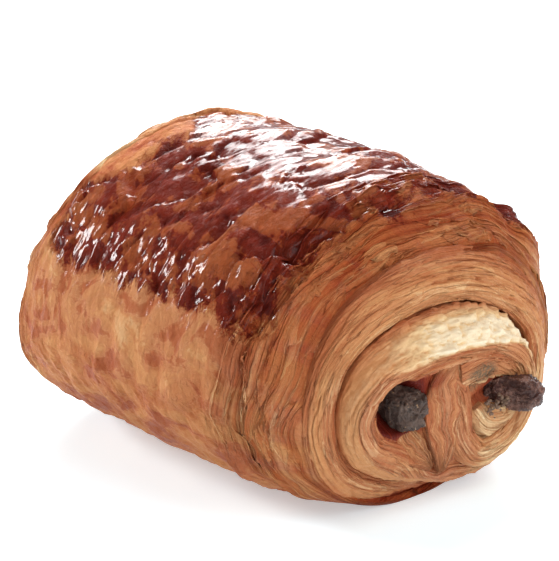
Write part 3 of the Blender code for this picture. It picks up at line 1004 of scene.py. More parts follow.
    def rim_relief(self, x: float, angle: float, end: End) -> tuple[float, float, float]:
        """Relief near a rim: broken edges of thin layers that run with it.

        Args:
            x: Where along the roll.
            angle: Where round it.
            end: Which rim.

        Returns:
            The height, 1 in the cracks, and how near the rim the place is.
        """
        from_rim = self.rim_x[end] - abs(x)
        if from_rim >= self.flake_zone:
            return 0.0, 0.0, 0.0
        near_rim = 1 - from_rim / self.flake_zone
        wave = 2.6 * ripple(angle * 1.9, end * 5.0, 1.7)
        s = angle * self.skin_radius
        jag = 0.6 * ripple(angle * 5.0, from_rim / 6.0, 61.0)
        jag += 0.25 * ripple(angle * 17.0, 2.0, 62.0)
        tooth = ((from_rim + wave + jag) / self.flake_pitch) % 1.0
        patch = max(0.6 + ripple(angle * 3.1, from_rim / 7.0, end * 9.0), 0.0)
        fade = smooth(0.0, 1.6, from_rim)
        height = self.flake_lift[end] * tooth ** 2 * patch * near_rim ** 0.5 * fade
        drift = from_rim + 0.4 * wave + 0.5 * ripple(s / 19.0, from_rim / 9.0, 64.0)
        strand = ripple(drift / 0.72, s / 17.0, 65.0)
        strong = ripple(drift / 1.7, s / 24.0, 66.0)
        open_rim = near_rim ** 0.7 * smooth(0.0, 0.6, from_rim) * self.strands[end]
        raised = self.strand_height * crest(strand) + self.strong_height * crest(strong, 2.6) - 0.2
        height += open_rim * raised
        crack = max(0.8 * smooth(0.16, 0.0, tooth) * patch, smooth(-0.2, -0.42, strong))
        return height, crack * near_rim ** 0.5, near_rim

    def relief(self, x: float, angle: float) -> tuple[float, dict[str, float]]:
        """Height of the skin over the plain section, how it is baked there, and the painted shade in
        its creases and cracks.

        Args:
            x: Where along the roll.
            angle: Where round it.

        Returns:
            The height in millimetres, and values for the skin's attributes.
        """
        end = End.NEAR if x > 0 else End.FAR
        s = angle * self.skin_radius
        along = s / self.wrinkle_length
        bump = ripple(x / self.wrinkle_width, along, 3.1)
        bump += 0.5 * ripple(x / self.wrinkle_width * 2.1, along * 2.3, 7.7)
        depth = self.glazed(x, angle)
        top = smooth(-2.5, 2.0, depth)
        top_height, crease = self.top_relief(x, s)
        side_height, torn = self.side_relief(x, s)
        rim_height, crack, near_rim = self.rim_relief(x, angle, end)
        flat = 1 - 0.75 * smooth(0.55, 1.0, near_rim)
        height = self.wrinkle_height * bump * mix(1.0, flat, 0.6) + rim_height
        height += mix(side_height, self.top_share * top_height, top) * flat
        for centre, degrees, half_length, half_width, rise in self.blisters:
            away = math.hypot((x - centre) / half_length,
                              (angle - math.radians(degrees)) * self.skin_radius / half_width)
            height += rise * smooth(1.0, 0.3, away)
        bake = self.side_bake(x, angle, end, near_rim, bump)
        # Painted shade: darker in the creases between plates, along the sides' torn edges and in the
        # rims' cracks.
        line = max(0.8 * crease * top, 0.35 * torn * (1 - top), crack)
        values = {"bake": bake, "line": line, "rim": smooth(0.1, 0.75, near_rim),
                  "glaze": depth, "height": max(-1.5, min(1.5, bump + top_height * 1.3))}
        return height, values

    def side_bake(self, x: float, angle: float, end: End, near_rim: float, bump: float) -> float:
        """How far the unglazed skin is baked.

        Args:
            x: Where along the roll.
            angle: Where round it.
            end: The nearer end.
            near_rim: How near its rim the place is.
            bump: The broad wrinkles there.

        Returns:
            The bake, from 0 to 1.
        """
        degrees = math.degrees(angle)
        from_top = abs(degrees - 90)
        under_glaze = smooth(46.0, 66.0, from_top) * smooth(100.0, 74.0, from_top)
        bake = mix(*self.side_baked, under_glaze) - 0.05 * bump
        rim_bake = self.rim_baked[end]
        if end == End.NEAR:
            rim_bake += self.upper_rim_darker * smooth(80.0, 40.0, abs(degrees - 100))
        else:
            strip = smooth(82.0, 90.0, degrees) * smooth(129.0, 121.0, degrees)
            stripes = smooth(122.0, 128.0, degrees) * smooth(151.0, 143.0, degrees)
            striped = self.stripes_baked + 0.1 * ripple(x / 1.6, angle * 2, 71.0)
            rim_bake = mix(mix(rim_bake, self.strip_baked, strip), striped, stripes)
        bake = mix(bake, rim_bake, smooth(0.1, self.rim_baked_to[end], near_rim))
        low = smooth(7.0, 0.5, self.point(x, angle)[1])
        return bake + self.base_darker * low

    def stations(self) -> list[tuple[float, float]]:
        """Each ring's (x, outline), from the far plug over the skin to the near plug.

        Returns:
            A pair for each ring, and for both poles.
        """
        steps = (*self.rim_steps, (self.plug_x, 0.0))
        near = [(self.rim_x[End.NEAR] + dx, share) for dx, share in steps]
        far = [(-self.rim_x[End.FAR] - dx, share) for dx, share in steps]
        stretches = self.rings + 2 - len(near) - len(far)
        skin = []
        for i in range(1, stretches):
            even = i / stretches
            crowded = mix(even, (1 - math.cos(math.pi * even)) / 2, 0.35)
            skin.append((mix(-self.rim_x[End.FAR], self.rim_x[End.NEAR], crowded), 1.0))
        return [*reversed(far), *skin, *near]

    def surface(self, x: float, angle: float) -> tuple[Vector, dict[str, float]]:
        """Point on the finished skin in millimetres, and its attributes.

        Args:
            x: Where along the roll.
            angle: Where round it.

        Returns:
            The point, and values for the skin's attributes.
        """
        y, z = self.point(x, angle)
        height, values = self.relief(x, angle)
        height *= smooth(1.0, 5.0, z)
        return Vector((x, y, z)) + self.out(x, angle) * height, values

    def placed(self, x: float, outline: float, angle: float) -> tuple[Vector, dict[str, float]]:
        """Point of the piece, on the skin or on the plug inside a rim.

        Args:
            x: Where along the roll.
            outline: Size of the outline there, under 1 on the plugs.
            angle: Where round it.

        Returns:
            The point in millimetres, and its attributes.
        """
        rim_x = max(-self.rim_x[End.FAR], min(self.rim_x[End.NEAR], x))
        place, values = self.surface(rim_x, angle)
        if outline < 1.0:
            lifted = place - Vector((rim_x, *self.point(rim_x, angle)))
            plain = Vector((x, *self.point(x, angle, outline)))
            place = plain + lifted * smooth(0.93, 1.0, outline)
            # Painted shade: the plug is darkened deep inside the rim.
            values["bake"] += self.painted_plug_shade * smooth(0.95, 0.85, outline)
        # The grain goes on over the plugs, so that its lines still run round the roll there.
        inward = math.copysign(self.skin_radius * (1 - outline), x)
        return place, {**values, "length": x + inward, "girth": angle * self.skin_radius}

    def build(self, material: bpy.types.Material) -> bpy.types.Object:
        """Build the crust and dress it.

        Args:
            material: The crust's finish.

        Returns:
            The piece.
        """
        bm, layers, places = sphere_grid(self.rings, self.segments, CRUST_VALUES)
        stations = self.stations()
        for vert, ring, angle in places:
            place, values = self.placed(*stations[ring], angle)
            vert.co = place * MM
            store(vert, layers, values)
        bmesh.ops.bisect_plane(
            bm, geom=bm.verts[:] + bm.edges[:] + bm.faces[:], plane_co=(0, 0, 0),
            plane_no=(0, 0, -1), clear_outer=True,
        )
        bmesh.ops.contextual_create(bm, geom=[edge for edge in bm.edges if edge.is_boundary])
        return finish_piece(bm, "crust", material, "pastry")


# --- Rolled ends --------------------------------------------------------------------------


@dataclass(frozen=True)
class PathPoint:
    """A point on the middle line of the dough sheet in cross-section."""

    y: float
    z: float
    half: float
    face: float
    shoulder: float


def smooth_path(points: Iterable[tuple[float, ...]], spacing: float) -> list[PathPoint]:
    """Evenly spaced points on a smooth curve through the given ones.

    Args:
        points: Fields of the path's points.
        spacing: Distance from one new point to the next.

    Returns:
        The points of the curve.
    """
    points = list(points)
    first = [2 * a - b for a, b in zip(points[0], points[1])]
    last = [2 * a - b for a, b in zip(points[-1], points[-2])]
    chain = [first, *points, last]
    path = []
    for i in range(1, len(chain) - 2):
        gap = math.dist(chain[i][:2], chain[i + 1][:2])
        steps = max(2, round(gap / spacing))
        for j in range(steps):
            t = j / steps
            path.append(PathPoint(*(
                0.5 * (2 * b + (c - a) * t + (2 * a - 5 * b + 4 * c - d) * t ** 2
                       + (3 * b - a - 3 * c + d) * t ** 3)
                for a, b, c, d in zip(*chain[i - 1:i + 3])
            )))
    path.append(PathPoint(*points[-1]))
    return path


@dataclass(frozen=True)
class Hollow:
    """The hollow at the mouth of a stick's channel, a rounded dent in the end of the roll."""

    centre: tuple[float, float, float]
    radii: tuple[float, float, float]

    def away(self, y: float, z: float) -> float:
        """How far a place lies from the hollow's middle, 1 on its outline."""
        return math.hypot((y - self.centre[1]) / self.radii[1], (z - self.centre[2]) / self.radii[2])

    def reach(self, y: float, z: float) -> float:
        """How far out material may stand at a place, or infinity beside the hollow.

        Args:
            y: Place across the roll.
            z: Height.

        Returns:
            The largest x there.
        """
        away = self.away(y, z)
        if away >= 1.0:
            return math.inf
        return self.centre[0] - self.radii[0] * math.sqrt(1.0 - away ** 2)

    def nearness(self, y: float, z: float) -> float:
        """1 inside the hollow's outline, falling to 0 a little outside of it."""
        return smooth(1.42, 0.94, self.away(y, z))


HOLLOWS = (
    Hollow((43.0, -9.3, 21.2), (8.0, 6.0, 5.3)),
    Hollow((43.0, 12.6, 18.6), (5.5, 4.2, 2.2)),
)
FAR_FACE_SHIFT = 1.7  # how much further out the far end's faces stand
ROOT_X = 27.0         # where the pieces of the ends are rooted inside the roll
# Where a sheet's inner wall, rounding, face, shoulder and outer wall end, as shares of its outline.
PROFILE_ENDS = (0.08, 0.2, 0.5, 0.86, 0.95)


def carve(x: float, y: float, z: float, end: End) -> float:
    """Keep a point of an end out of the hollows round the sticks."""
    shift = FAR_FACE_SHIFT if end == End.FAR else 0.0
    return min(x, *(hollow.reach(y, z) + shift for hollow in HOLLOWS))


def turn_radius(y: float, z: float) -> float:
    """How far a place lies from the end's middle: about 1 on the second turn from outside."""
    return math.hypot((y - 2.0) / 22.0, (z - 18.5) / 13.0)


def outer_skin(y: float, z: float, share: float) -> float:
    """How much a place shows the sheet's outer skin: on its shoulder, and on top its face too."""
    start = mix(0.5, 0.33, smooth(25.0, 28.5, z) * smooth(36.0, 33.5, z) * smooth(-15.0, -8.0, y))
    return smooth(start, start + 0.1, share) * smooth(0.96, 0.9, share)


def sunny(y: float, z: float) -> float:
    """1 on top of the second turn, whose pale skin is crumpled, falling to 0 around it."""
    return smooth(-18.0, -3.0, y) * smooth(19.0, 26.0, z) * smooth(1.42, 1.25, turn_radius(y, z))


class Weave(enum.Enum):
    """How the layers' edges run over a fold's face."""

    ALONG = "along"
    FANNED = "fanned"


@dataclass
class DoughSheet:
    """The rounded end of a stretch of the rolled sheet, with the edges of its layers."""

    name: str
    points: tuple[tuple[float, ...], ...]
    end: End
    bake: Callable[[float, float, float, float], tuple[float, float, float, float]]
    spacing: float = 0.62
    segments: int = 120
    weave: Weave = Weave.ALONG
    slant: float = 0.0
    terrace: float = 0.26
    terrace_pitch: float = 1.9
    thin_line: float = 0.07
    wave_height: float = 0.12
    pucker_height: float = 1.2
    fanned_span: float = 26.0
    face_dome: float = 0.35
    inner_round: float = 0.7
    shoulder_from: float = 33.0
    shoulder_share: float = 0.68
    shoulder_curve: float = 1.3
    middle: tuple[float, float] = (3.0, 18.0)
    inner_radius: float = 14.0
    far_opening: float = 0.085

    def far_point(self, point: PathPoint) -> PathPoint:
        """The same point at the far end, whose outer turn opens out to the wider rim.

        Args:
            point: Point of the path at the near end.

        Returns:
            Its counterpart.
        """
        dy, dz = point.y - self.middle[0], point.z - self.middle[1]
        outside = min(1.0, max(0.0, math.hypot(dy, dz) / self.inner_radius - 1.0))
        wider = 1 + self.far_opening * outside
        z = self.middle[1] + dz * wider
        z = min(point.z, z) if dz < 0 else z
        return PathPoint(self.middle[0] + dy * wider, max(z, point.half + 0.8), point.half,
                         point.face + FAR_FACE_SHIFT, point.shoulder)

    def profile(self, share: float, point: PathPoint) -> tuple[float, float]:
        """Outline of the sheet's end at a point of the path.

        Args:
            share: How far round the outline, from the root of the inner wall over the end
                face to the root of the outer wall and back.
            point: Where on the path.

        Returns:
            The offset across the sheet, and x.
        """
        half, face = point.half, point.face
        inner = min(self.inner_round, 0.6 * half)
        outer = min(point.shoulder * half, 2 * half - inner - 0.1)
        fall = min(self.shoulder_share * (face - self.shoulder_from), 2.2 * outer)
        fall *= mix(1.0, 0.75, smooth(38.5, 40.5, face))
        bounds = (0.0, *PROFILE_ENDS, 1.0)
        part = sum(share >= bound for bound in bounds[1:-1])
        t = (share - bounds[part]) / (bounds[part + 1] - bounds[part])
        turn = t * math.pi / 2
        return (
            (-half, mix(ROOT_X, face - inner, t ** 0.4)),
            (-half + inner * (1 - math.cos(turn)), face - inner * (1 - math.sin(turn))),
            (mix(-half + inner, half - outer, t), face + self.face_dome * math.sin(math.pi * t)),
            (half - outer * (1 - t), face - fall * t ** self.shoulder_curve),
            (half, mix(face - fall, ROOT_X, t ** 2)),
            (mix(half, -half, t), ROOT_X),
        )[part]

    def outline(self, point: PathPoint) -> list[tuple[float, float, float]]:
        """The outline at a point: offset across the sheet, x, and distance walked to there.

        Args:
            point: Where on the path.

        Returns:
            The three values for each step round the outline.
        """
        spots, walked = [], 0.0
        for j in range(self.segments + 1):
            spot = self.profile(j / self.segments, point)
            walked += math.dist(spot, spots[-1][:2]) if spots else 0.0
            spots.append((*spot, walked))
        return spots

    def relief(self, q: float, along: float, skin: float, seed: float) -> tuple[float, float]:
        """Relief of the sheet's end: terraces of its layers, and puckers on its baked skin.

        Args:
            q: Place across the layers, in millimetres.
            along: Place along the sheet, in millimetres.
            skin: 1 on the sheet's puckered outer skin, 0 on its layered face.
            seed: Sets one sheet apart from another.

        Returns:
            The height in millimetres, and a mask of the gaps between layers and the puckers' valleys,
            where shade is painted.
        """
        wander = 2.4 * ripple(along / 9.0, q / 5.0, seed)
        wander += 0.6 * ripple(along / 2.6, q / 2.0, seed + 3)
        uneven = 1 + 0.25 * ripple(q / 3.0, along / 20.0, seed + 5)
        steps = (q + wander) / self.terrace_pitch * uneven
        step = steps - math.floor(steps)
        strength = smooth(-0.5, 0.4, ripple(along / 7.0, math.floor(steps) * 1.7, seed + 7))
        gap = smooth(0.22, 0.0, step) * strength
        thin = crest(ripple(q / 0.5, along / 6.0, seed + 9), 2.0)
        wave = ripple(q / 3.4, along / 4.0, seed + 19)
        pucker = 1.5 * abs(ripple(q / 2.3, along / 2.4, seed + 29))
        pucker += 0.8 * abs(ripple(q, along, seed + 39))
        lines = self.terrace * strength * (step ** 1.5 - 0.4 - 1.3 * gap) + self.thin_line * thin
        valley = smooth(0.35, 0.05, pucker)
        puckered = 0.15 * lines + self.pucker_height * pucker - 0.4
        height = mix(lines, puckered, skin) + self.wave_height * wave
        return height, mix(0.35 * gap, 0.9 * valley, skin)

    def build(self, material: bpy.types.Material) -> bpy.types.Object:
        """Build the sheet's end and dress it.

        Args:
            material: The finish of the laminated dough.

        Returns:
            The piece.
        """
        path = smooth_path(self.points, self.spacing)
        if self.end == End.FAR:
            path = [self.far_point(point) for point in path]
        rings = len(path) + 1
        outlines = [self.outline(point) for point in path]
        directions, lengths = [], [0.0]
        for i, point in enumerate(path):
            before, after = path[max(i - 1, 0)], path[min(i + 1, len(path) - 1)]
            directions.append(Vector((after.y - before.y, after.z - before.z)).normalized())
            if i:
                lengths.append(lengths[-1] + math.dist(
                    (point.y, point.z), (path[i - 1].y, path[i - 1].z)))
        bm, layers, places = sphere_grid(rings, self.segments, DOUGH_VALUES)
        seed = 3.0 * self.end + len(self.points)
        for vert, ring, angle in places:
            i = min(max(ring - 1, 0), len(path) - 1)
            point, ahead, along = path[i], directions[i], lengths[i]
            j = round(((angle / math.tau) % 1.0) * self.segments) % self.segments
            share = j / self.segments
            across, x, walked = outlines[i][j]
            before, after = outlines[i][max(j - 1, 0)], outlines[i][j + 1]
            tangent = Vector((after[0] - before[0], after[1] - before[1])).normalized()
            q = self.fanned_span * share if self.weave == Weave.FANNED else walked
            q += self.slant * along
            if self.weave == Weave.FANNED:
                wander = 1.3 * ripple(along / 3.4, share * 5.0, seed)
                q += wander + 0.4 * ripple(along / 1.1, q / 3.0, seed)
            spot_y, spot_z = point.y + ahead.y * across, point.z - ahead.x * across
            skin = outer_skin(spot_y, spot_z, share) * mix(0.25, 1.0, sunny(spot_y, spot_z))
            lift, gap = self.relief(q, along, skin, seed)
            open_side = smooth(0.02, 0.14, share) * smooth(0.95, 0.86, share)
            lift *= open_side * min(1.0, point.half / 1.5)
            if ring in (0, rings):
                across, x, lift = 0.0, mix(ROOT_X, point.face, 0.5), 0.0
            across -= tangent.y * lift
            x += tangent.x * lift
            y = point.y + ahead.y * across
            z = max(point.z - ahead.x * across, 0.05)
            x = carve(x, y, z, self.end)
            vert.co = Vector((self.end * x, y, z)) * MM
            shade, ruddy, stain, lined = self.bake(y, z, point.face - x, share)
            store(vert, layers, {
                "bake": shade, "line": gap * open_side, "ruddy": ruddy, "stain": stain,
                "lined": lined, "along": along, "across": q,
            })
        return finish_piece(bm, self.name, material, "pastry")


# Fields of the path's points for the turns of the roll, from its middle outwards.
ROLL_PATH = (
    (-1.4, 8.0, 0.5, 40.2, 0.3),
    (-2.3, 12.0, 0.8, 40.4, 0.3),
    (-2.6, 17.0, 1.1, 40.4, 0.3),
    (-1.2, 21.4, 1.2, 40.2, 0.3),
    (2.4, 23.6, 1.1, 40.2, 0.3),
    (5.7, 21.4, 1.3, 40.7, 0.3),
    (6.2, 16.4, 1.9, 41.0, 0.3),
    (5.8, 11.6, 2.7, 41.6, 0.3),
    (9.4, 7.8, 2.8, 41.8, 0.3),
    (15.8, 8.7, 2.8, 41.8, 0.4),
    (20.8, 12.6, 2.9, 41.6, 0.5),
    (22.5, 18.0, 3.0, 41.2, 0.6),
    (20.6, 23.8, 3.5, 41.0, 0.8),
    (14.0, 28.5, 4.5, 40.9, 1.0),
    (4.5, 30.5, 5.0, 40.9, 1.1),
    (-5.0, 30.2, 4.8, 40.9, 1.1),
    (-13.6, 27.1, 4.0, 40.7, 0.95),
    (-17.6, 21.0, 2.9, 40.5, 0.65),
    (-15.4, 14.8, 3.3, 40.5, 0.6),
    (-8.8, 10.4, 3.4, 40.5, 0.5),
    (-1.6, 6.4, 1.4, 40.0, 0.5),
    (4.6, 4.9, 2.4, 39.4, 0.5),
    (14.0, 4.2, 2.0, 38.8, 0.6),
    (23.0, 7.6, 2.3, 38.2, 0.7),
    (27.9, 14.0, 2.7, 37.8, 0.8),
    (29.2, 21.2, 3.0, 37.6, 1.0),
    (27.4, 28.8, 3.9, 37.4, 1.2),
    (19.9, 35.9, 4.5, 37.2, 1.3),
    (9.0, 40.2, 4.6, 37.0, 1.3),
    (-2.5, 40.3, 4.4, 37.0, 1.3),
    (-13.8, 36.8, 3.8, 36.8, 1.2),
    (-20.8, 30.2, 2.8, 36.6, 1.0),
    (-23.2, 21.6, 2.9, 36.2, 0.9),
    (-21.6, 13.2, 3.3, 36.0, 0.9),
    (-15.4, 6.9, 3.3, 35.8, 0.9),
    (-5.8, 3.9, 2.4, 35.4, 0.8),
    (5.0, 2.6, 1.4, 34.6, 0.6),
)
FOLDS = {
    "arch_fold": (
        (0.2, 6.8, 0.9, 41.1, 0.2),
        (0.9, 10.4, 2.8, 41.3, 0.2),
        (1.2, 14.4, 4.6, 41.2, 0.2),
        (1.6, 18.4, 5.4, 40.9, 0.2),
        (2.4, 22.0, 5.0, 40.7, 0.2),
        (3.2, 24.6, 3.6, 40.6, 0.2),
        (3.8, 26.2, 1.4, 40.5, 0.2),
    ),
    "left_fold": (
        (-1.8, 8.0, 0.9, 40.6, 0.3),
        (-5.0, 11.6, 2.8, 40.9, 0.3),
        (-7.4, 14.0, 3.5, 40.4, 0.3),
        (-8.4, 16.2, 3.2, 39.8, 0.3),
    ),
    "right_fold": (
        (9.6, 17.0, 2.2, 41.2, 0.3),
        (11.6, 13.3, 2.9, 41.4, 0.3),
        (15.8, 12.6, 2.8, 41.4, 0.3),
        (19.4, 15.4, 2.2, 41.2, 0.3),
    ),
    "right_cap": (
        (5.0, 23.2, 2.4, 40.9, 0.3),
        (10.2, 23.4, 2.8, 40.9, 0.3),
        (14.8, 23.2, 2.8, 40.7, 0.3),
        (19.2, 21.2, 1.8, 40.8, 0.3),
    ),
}
# How the layers' edges run over each fold, and how far they lean.
FOLD_WEAVES = {
    "arch_fold": (Weave.FANNED, 0.12),
    "left_fold": (Weave.FANNED, 0.0),
    "right_fold": (Weave.ALONG, 0.0),
    "right_cap": (Weave.ALONG, 0.0),
}


@dataclass
class RolledEnd:
    """One end of the roll: the turns of the sheet, its inner folds and the dough behind them."""

    end: End
    core_middle: tuple[float, float] = (3.2, 16.8)
    core_half: tuple[float, float] = (19.5, 10.6)
    core_face: float = 40.2
    core_power: float = 7.0
    core_rings: int = 90
    core_segments: int = 120
    # Tone that the top right of the second turn's skin is paled to at each end: painted light.
    palest: dict[End, float] = per_end(0.07, 0.2)

    def dough_bake(self, y: float, z: float, depth: float,
                   share: float) -> tuple[float, float, float, float]:
        """How the dough is baked at a place on the end, with painted shade in its grooves and hollows
        and painted light on the top right of the second turn.

        Args:
            y: Place across the roll.
            z: Height.
            depth: How far it lies behind the sheet's face.
            share: How far round the sheet's outline.

        Returns:
            How dark, how ruddy, how stained with chocolate and how clearly lined it is.
        """
        radius = turn_radius(y, z)
        outer_turn = smooth(1.12, 1.4, radius)
        skin = outer_skin(y, z, share)
        # The second turn's skin is pale of its own, and is painted paler still at its top right,
        # where the light falls.
        painted_light_top_right = smooth(-15.0, 2.0, y) * smooth(19.0, 26.0, z)
        face = mix(0.41, 0.36, outer_turn)
        pale = mix(mix(0.36, self.palest[self.end], painted_light_top_right), 0.43, outer_turn)
        bake = mix(face, pale, skin)
        rim_side = smooth(0.66, 0.86, share) * outer_turn
        bake += 0.12 * rim_side
        bake += 0.07 * smooth(0.42, 0.2, share) * (1 - outer_turn)
        # Painted shade: darker the further a place lies behind the sheet's face, as in the grooves
        # between turns.
        bake += 0.20 * smooth(2.2, 5.0, depth) * (1 - rim_side) * mix(1.0, 0.8, skin)
        bake += 0.42 * smooth(3.4, 0.8, z) * smooth(-9.0, -3.0, y) * smooth(21.0, 15.0, y)
        ruddy = mix(0.38, 0.12, outer_turn) * (1 - skin) + 0.4 * rim_side
        fan = smooth(7.0, 3.0, abs(y - 1.5)) * smooth(25.0, 20.0, z)
        bake = mix(bake, 0.42, 0.5 * fan)
        ruddy = mix(ruddy, 0.7, fan * 0.6)
        golden = smooth(7.0, 10.5, y) * smooth(23.0, 18.0, z)
        golden *= smooth(1.35, 1.15, radius) * smooth(0.25, 0.45, radius)
        bake, ruddy = bake - 0.13 * golden, mix(ruddy, 0.1, golden)
        smear = smooth(1.2, 0.4, math.hypot((y + 3.0) / 4.5, (z - 24.3) / 1.8))
        bake, ruddy = bake + 0.2 * smear, mix(ruddy, 0.9, smear)
        left, right = HOLLOWS
        # Painted shade: the hollows round the sticks are darkened to a deep red-brown, more so deeper
        # in.
        painted_hollow_shade = left.nearness(y, z) * smooth(-0.2, 1.0, depth)
        painted_hollow_shade = max(painted_hollow_shade, 0.7 * right.nearness(y, z) * smooth(0.3, 1.6, depth))
        bake = mix(bake, 0.93, painted_hollow_shade)
        ruddy = mix(ruddy, 0.9, painted_hollow_shade)
        from_stain = math.hypot((y - 10.5) / 4.0, (z - 22.8) / 2.0)
        stain = smooth(1.2, 0.5, from_stain) if self.end == End.NEAR else 0.0
        lined = mix(mix(1.0, 0.75, outer_turn), mix(0.12, 0.7, outer_turn), skin)
        return bake, ruddy, stain, lined

    def build(self, material: bpy.types.Material) -> None:
        """Build the end's pieces and dress them.

        Args:
            material: The finish of the laminated dough.
        """
        side = self.end.name.lower()
        turns = DoughSheet(f"roll_{side}", ROLL_PATH, self.end, self.dough_bake, segments=144)
        turns.build(material)
        for name, points in FOLDS.items():
            weave, slant = FOLD_WEAVES[name]
            fold = DoughSheet(
                f"{name}_{side}", points, self.end, self.dough_bake, spacing=0.2, segments=160,
                weave=weave, slant=slant, terrace=0.16, terrace_pitch=1.0, face_dome=0.15,
                inner_round=0.35,
            )
            fold.build(material)
        self.build_core(material)

    def build_core(self, material: bpy.types.Material) -> bpy.types.Object:
        """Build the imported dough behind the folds, an oval plug with a rounded edge.

        Args:
            material: The finish of the laminated dough.

        Returns:
            The piece.
        """
        y, z = self.core_middle
        half_width, half_height = self.core_half
        face = self.core_face + (FAR_FACE_SHIFT if self.end == End.FAR else 0.0)
        bm, layers, places = sphere_grid(self.core_rings, self.core_segments, DOUGH_VALUES)
        for vert, ring, angle in places:
            t = 2 * ring / self.core_rings - 1
            round_r, round_x = superellipse(math.asin(t), self.core_power)
            at_y = y + half_width * round_r * math.cos(angle)
            at_z = z + half_height * round_r * math.sin(angle)
            x = mix(ROOT_X, face, 0.5 + 0.5 * round_x)
            x = carve(x + 0.2 * ripple(at_y / 1.4, at_z / 1.4, 2.0), at_y, at_z, self.end)
            vert.co = Vector((self.end * x, at_y, at_z)) * MM
            # The core lies behind the folds, and takes the painted shade of that depth and a little
            # more.
            shade, ruddy, stain, lined = self.dough_bake(at_y, at_z, 3.0, 0.3)
            store(vert, layers, {
                "bake": shade + 0.02, "line": 0.0, "ruddy": ruddy, "stain": stain,
                "lined": 0.6 * lined, "along": at_z, "across": at_y,
            })
        return finish_piece(bm, f"core_{self.end.name.lower()}", material, "pastry")


# --- Flakes and crumbs --------------------------------------------------------------------


@dataclass
class Flakes:
    """Thin ragged flakes of crust that have lifted along the rims."""

    crust: Crust
    name: str = "flakes"
    count: int = 210
    angles: tuple[float, float] = (-12.0, 200.0)
    paler: float = 0.02
    long_side: tuple[float, float] = (5.0, 20.0)
    short_side: tuple[float, float] = (0.5, 1.6)
    lift: tuple[float, float] = (0.12, 0.6)
    thickness: float = 0.14
    reach: float = 11.0
    near_share: float = 0.72
    rooted: float = 0.25
    seed: int = 12

    def build(self, material: bpy.types.Material) -> bpy.types.Object:
        """Build all flakes as one piece.

        Args:
            material: The crust's finish.

        Returns:
            The piece.
        """
        chance = random.Random(self.seed)
        bm = bmesh.new()
        layers = {key: bm.verts.layers.float.new(key) for key in CRUST_VALUES}
        for _ in range(self.count):
            end = End.NEAR if chance.random() < self.near_share else End.FAR
            from_rim = self.reach * chance.random() ** 1.3 + 0.9
            angle = math.radians(chance.uniform(*self.angles))
            x = end * (self.crust.rim_x[end] - from_rim)
            self.add_flake(bm, layers, chance, x, angle, end)
        for face in bm.faces:
            face.normal_update()
        bmesh.ops.solidify(bm, geom=bm.faces[:], thickness=self.thickness * MM)
        return finish_piece(bm, self.name, material, "pastry")

    def add_flake(self, bm: bmesh.types.BMesh, layers: dict, chance: random.Random, x: float,
                  angle: float, end: End) -> None:
        """Add one flake, rooted in the crust along one edge and lifted along the other.

        Args:
            bm: Where it is added.
            layers: The attributes' layers.
            chance: Source of its sizes.
            x: Its place along the roll.
            angle: Its place round the roll.
            end: The end whose rim its lifted edge faces.
        """
        length, width = chance.uniform(*self.long_side), chance.uniform(*self.short_side)
        lift, twist = chance.uniform(*self.lift), chance.uniform(-0.16, 0.16)
        tone = chance.uniform(-0.07, 0.07) - self.paler
        seed = chance.uniform(0.0, 90.0)
        grid = bmesh.ops.create_grid(bm, x_segments=14, y_segments=3, size=1.0)
        for vert in grid["verts"]:
            u, v = vert.co.x, vert.co.y
            taper = max(0.04, 1 - abs(u) ** 2.2) ** 0.7
            torn = 0.55 * ripple(u * 2.2, seed, 1.0) + 0.45 * ripple(u * 6.5, seed, 2.0)
            ragged = 1 + torn * (v > 0)
            away = v * width / 2 * taper * ragged
            round_it = angle + (u * length / 2 + 0.2 * away) / self.crust.skin_radius
            limit = self.crust.rim_x[end] + 0.2
            at = end * min(abs(x + end * (away + twist * u * length / 2)), limit)
            place, values = self.crust.surface(at, round_it)
            rise = (lift + self.rooted) * (0.5 + 0.5 * v) ** 1.5 * taper - self.rooted
            vert.co = (place + self.crust.out(at, round_it) * rise) * MM
            values["bake"] += tone - 0.06 * smooth(0.3, 1.0, v)
            girth = round_it * self.crust.skin_radius
            store(vert, layers, {**values, "line": 0.0, "length": at, "girth": girth})


@dataclass
class Crumbs:
    """Crumbs of chocolate beside the broken part of the right stick."""

    centre: tuple[float, float, float] = (42.8, 12.4, 16.9)
    spread: tuple[float, float, float] = (0.8, 2.8, 1.3)
    size: tuple[float, float] = (0.14, 0.42)
    count: int = 46
    seed: int = 5

    def build(self, finish: bpy.types.Material) -> bpy.types.Object:
        """Build the crumbs as one piece.

        Args:
            finish: The chocolate's finish.

        Returns:
            The piece.
        """
        chance = random.Random(self.seed)
        bm = bmesh.new()
        for _ in range(self.count):
            radius = chance.uniform(*self.size) * MM
            place = Vector([chance.gauss(c, s / 2) for c, s in zip(self.centre, self.spread)])
            ball = bmesh.ops.create_icosphere(
                bm, subdivisions=2, radius=radius, matrix=Matrix.Translation(place * MM),
            )
            for vert in ball["verts"]:
                away = vert.co - place * MM
                vert.co = place * MM + away * (1 + 0.5 * noise.noise(vert.co * 2600))
        return finish_piece(bm, "stick_crumbs", finish, "chocolate_stick_right")


# --- Chocolate ----------------------------------------------------------------------------


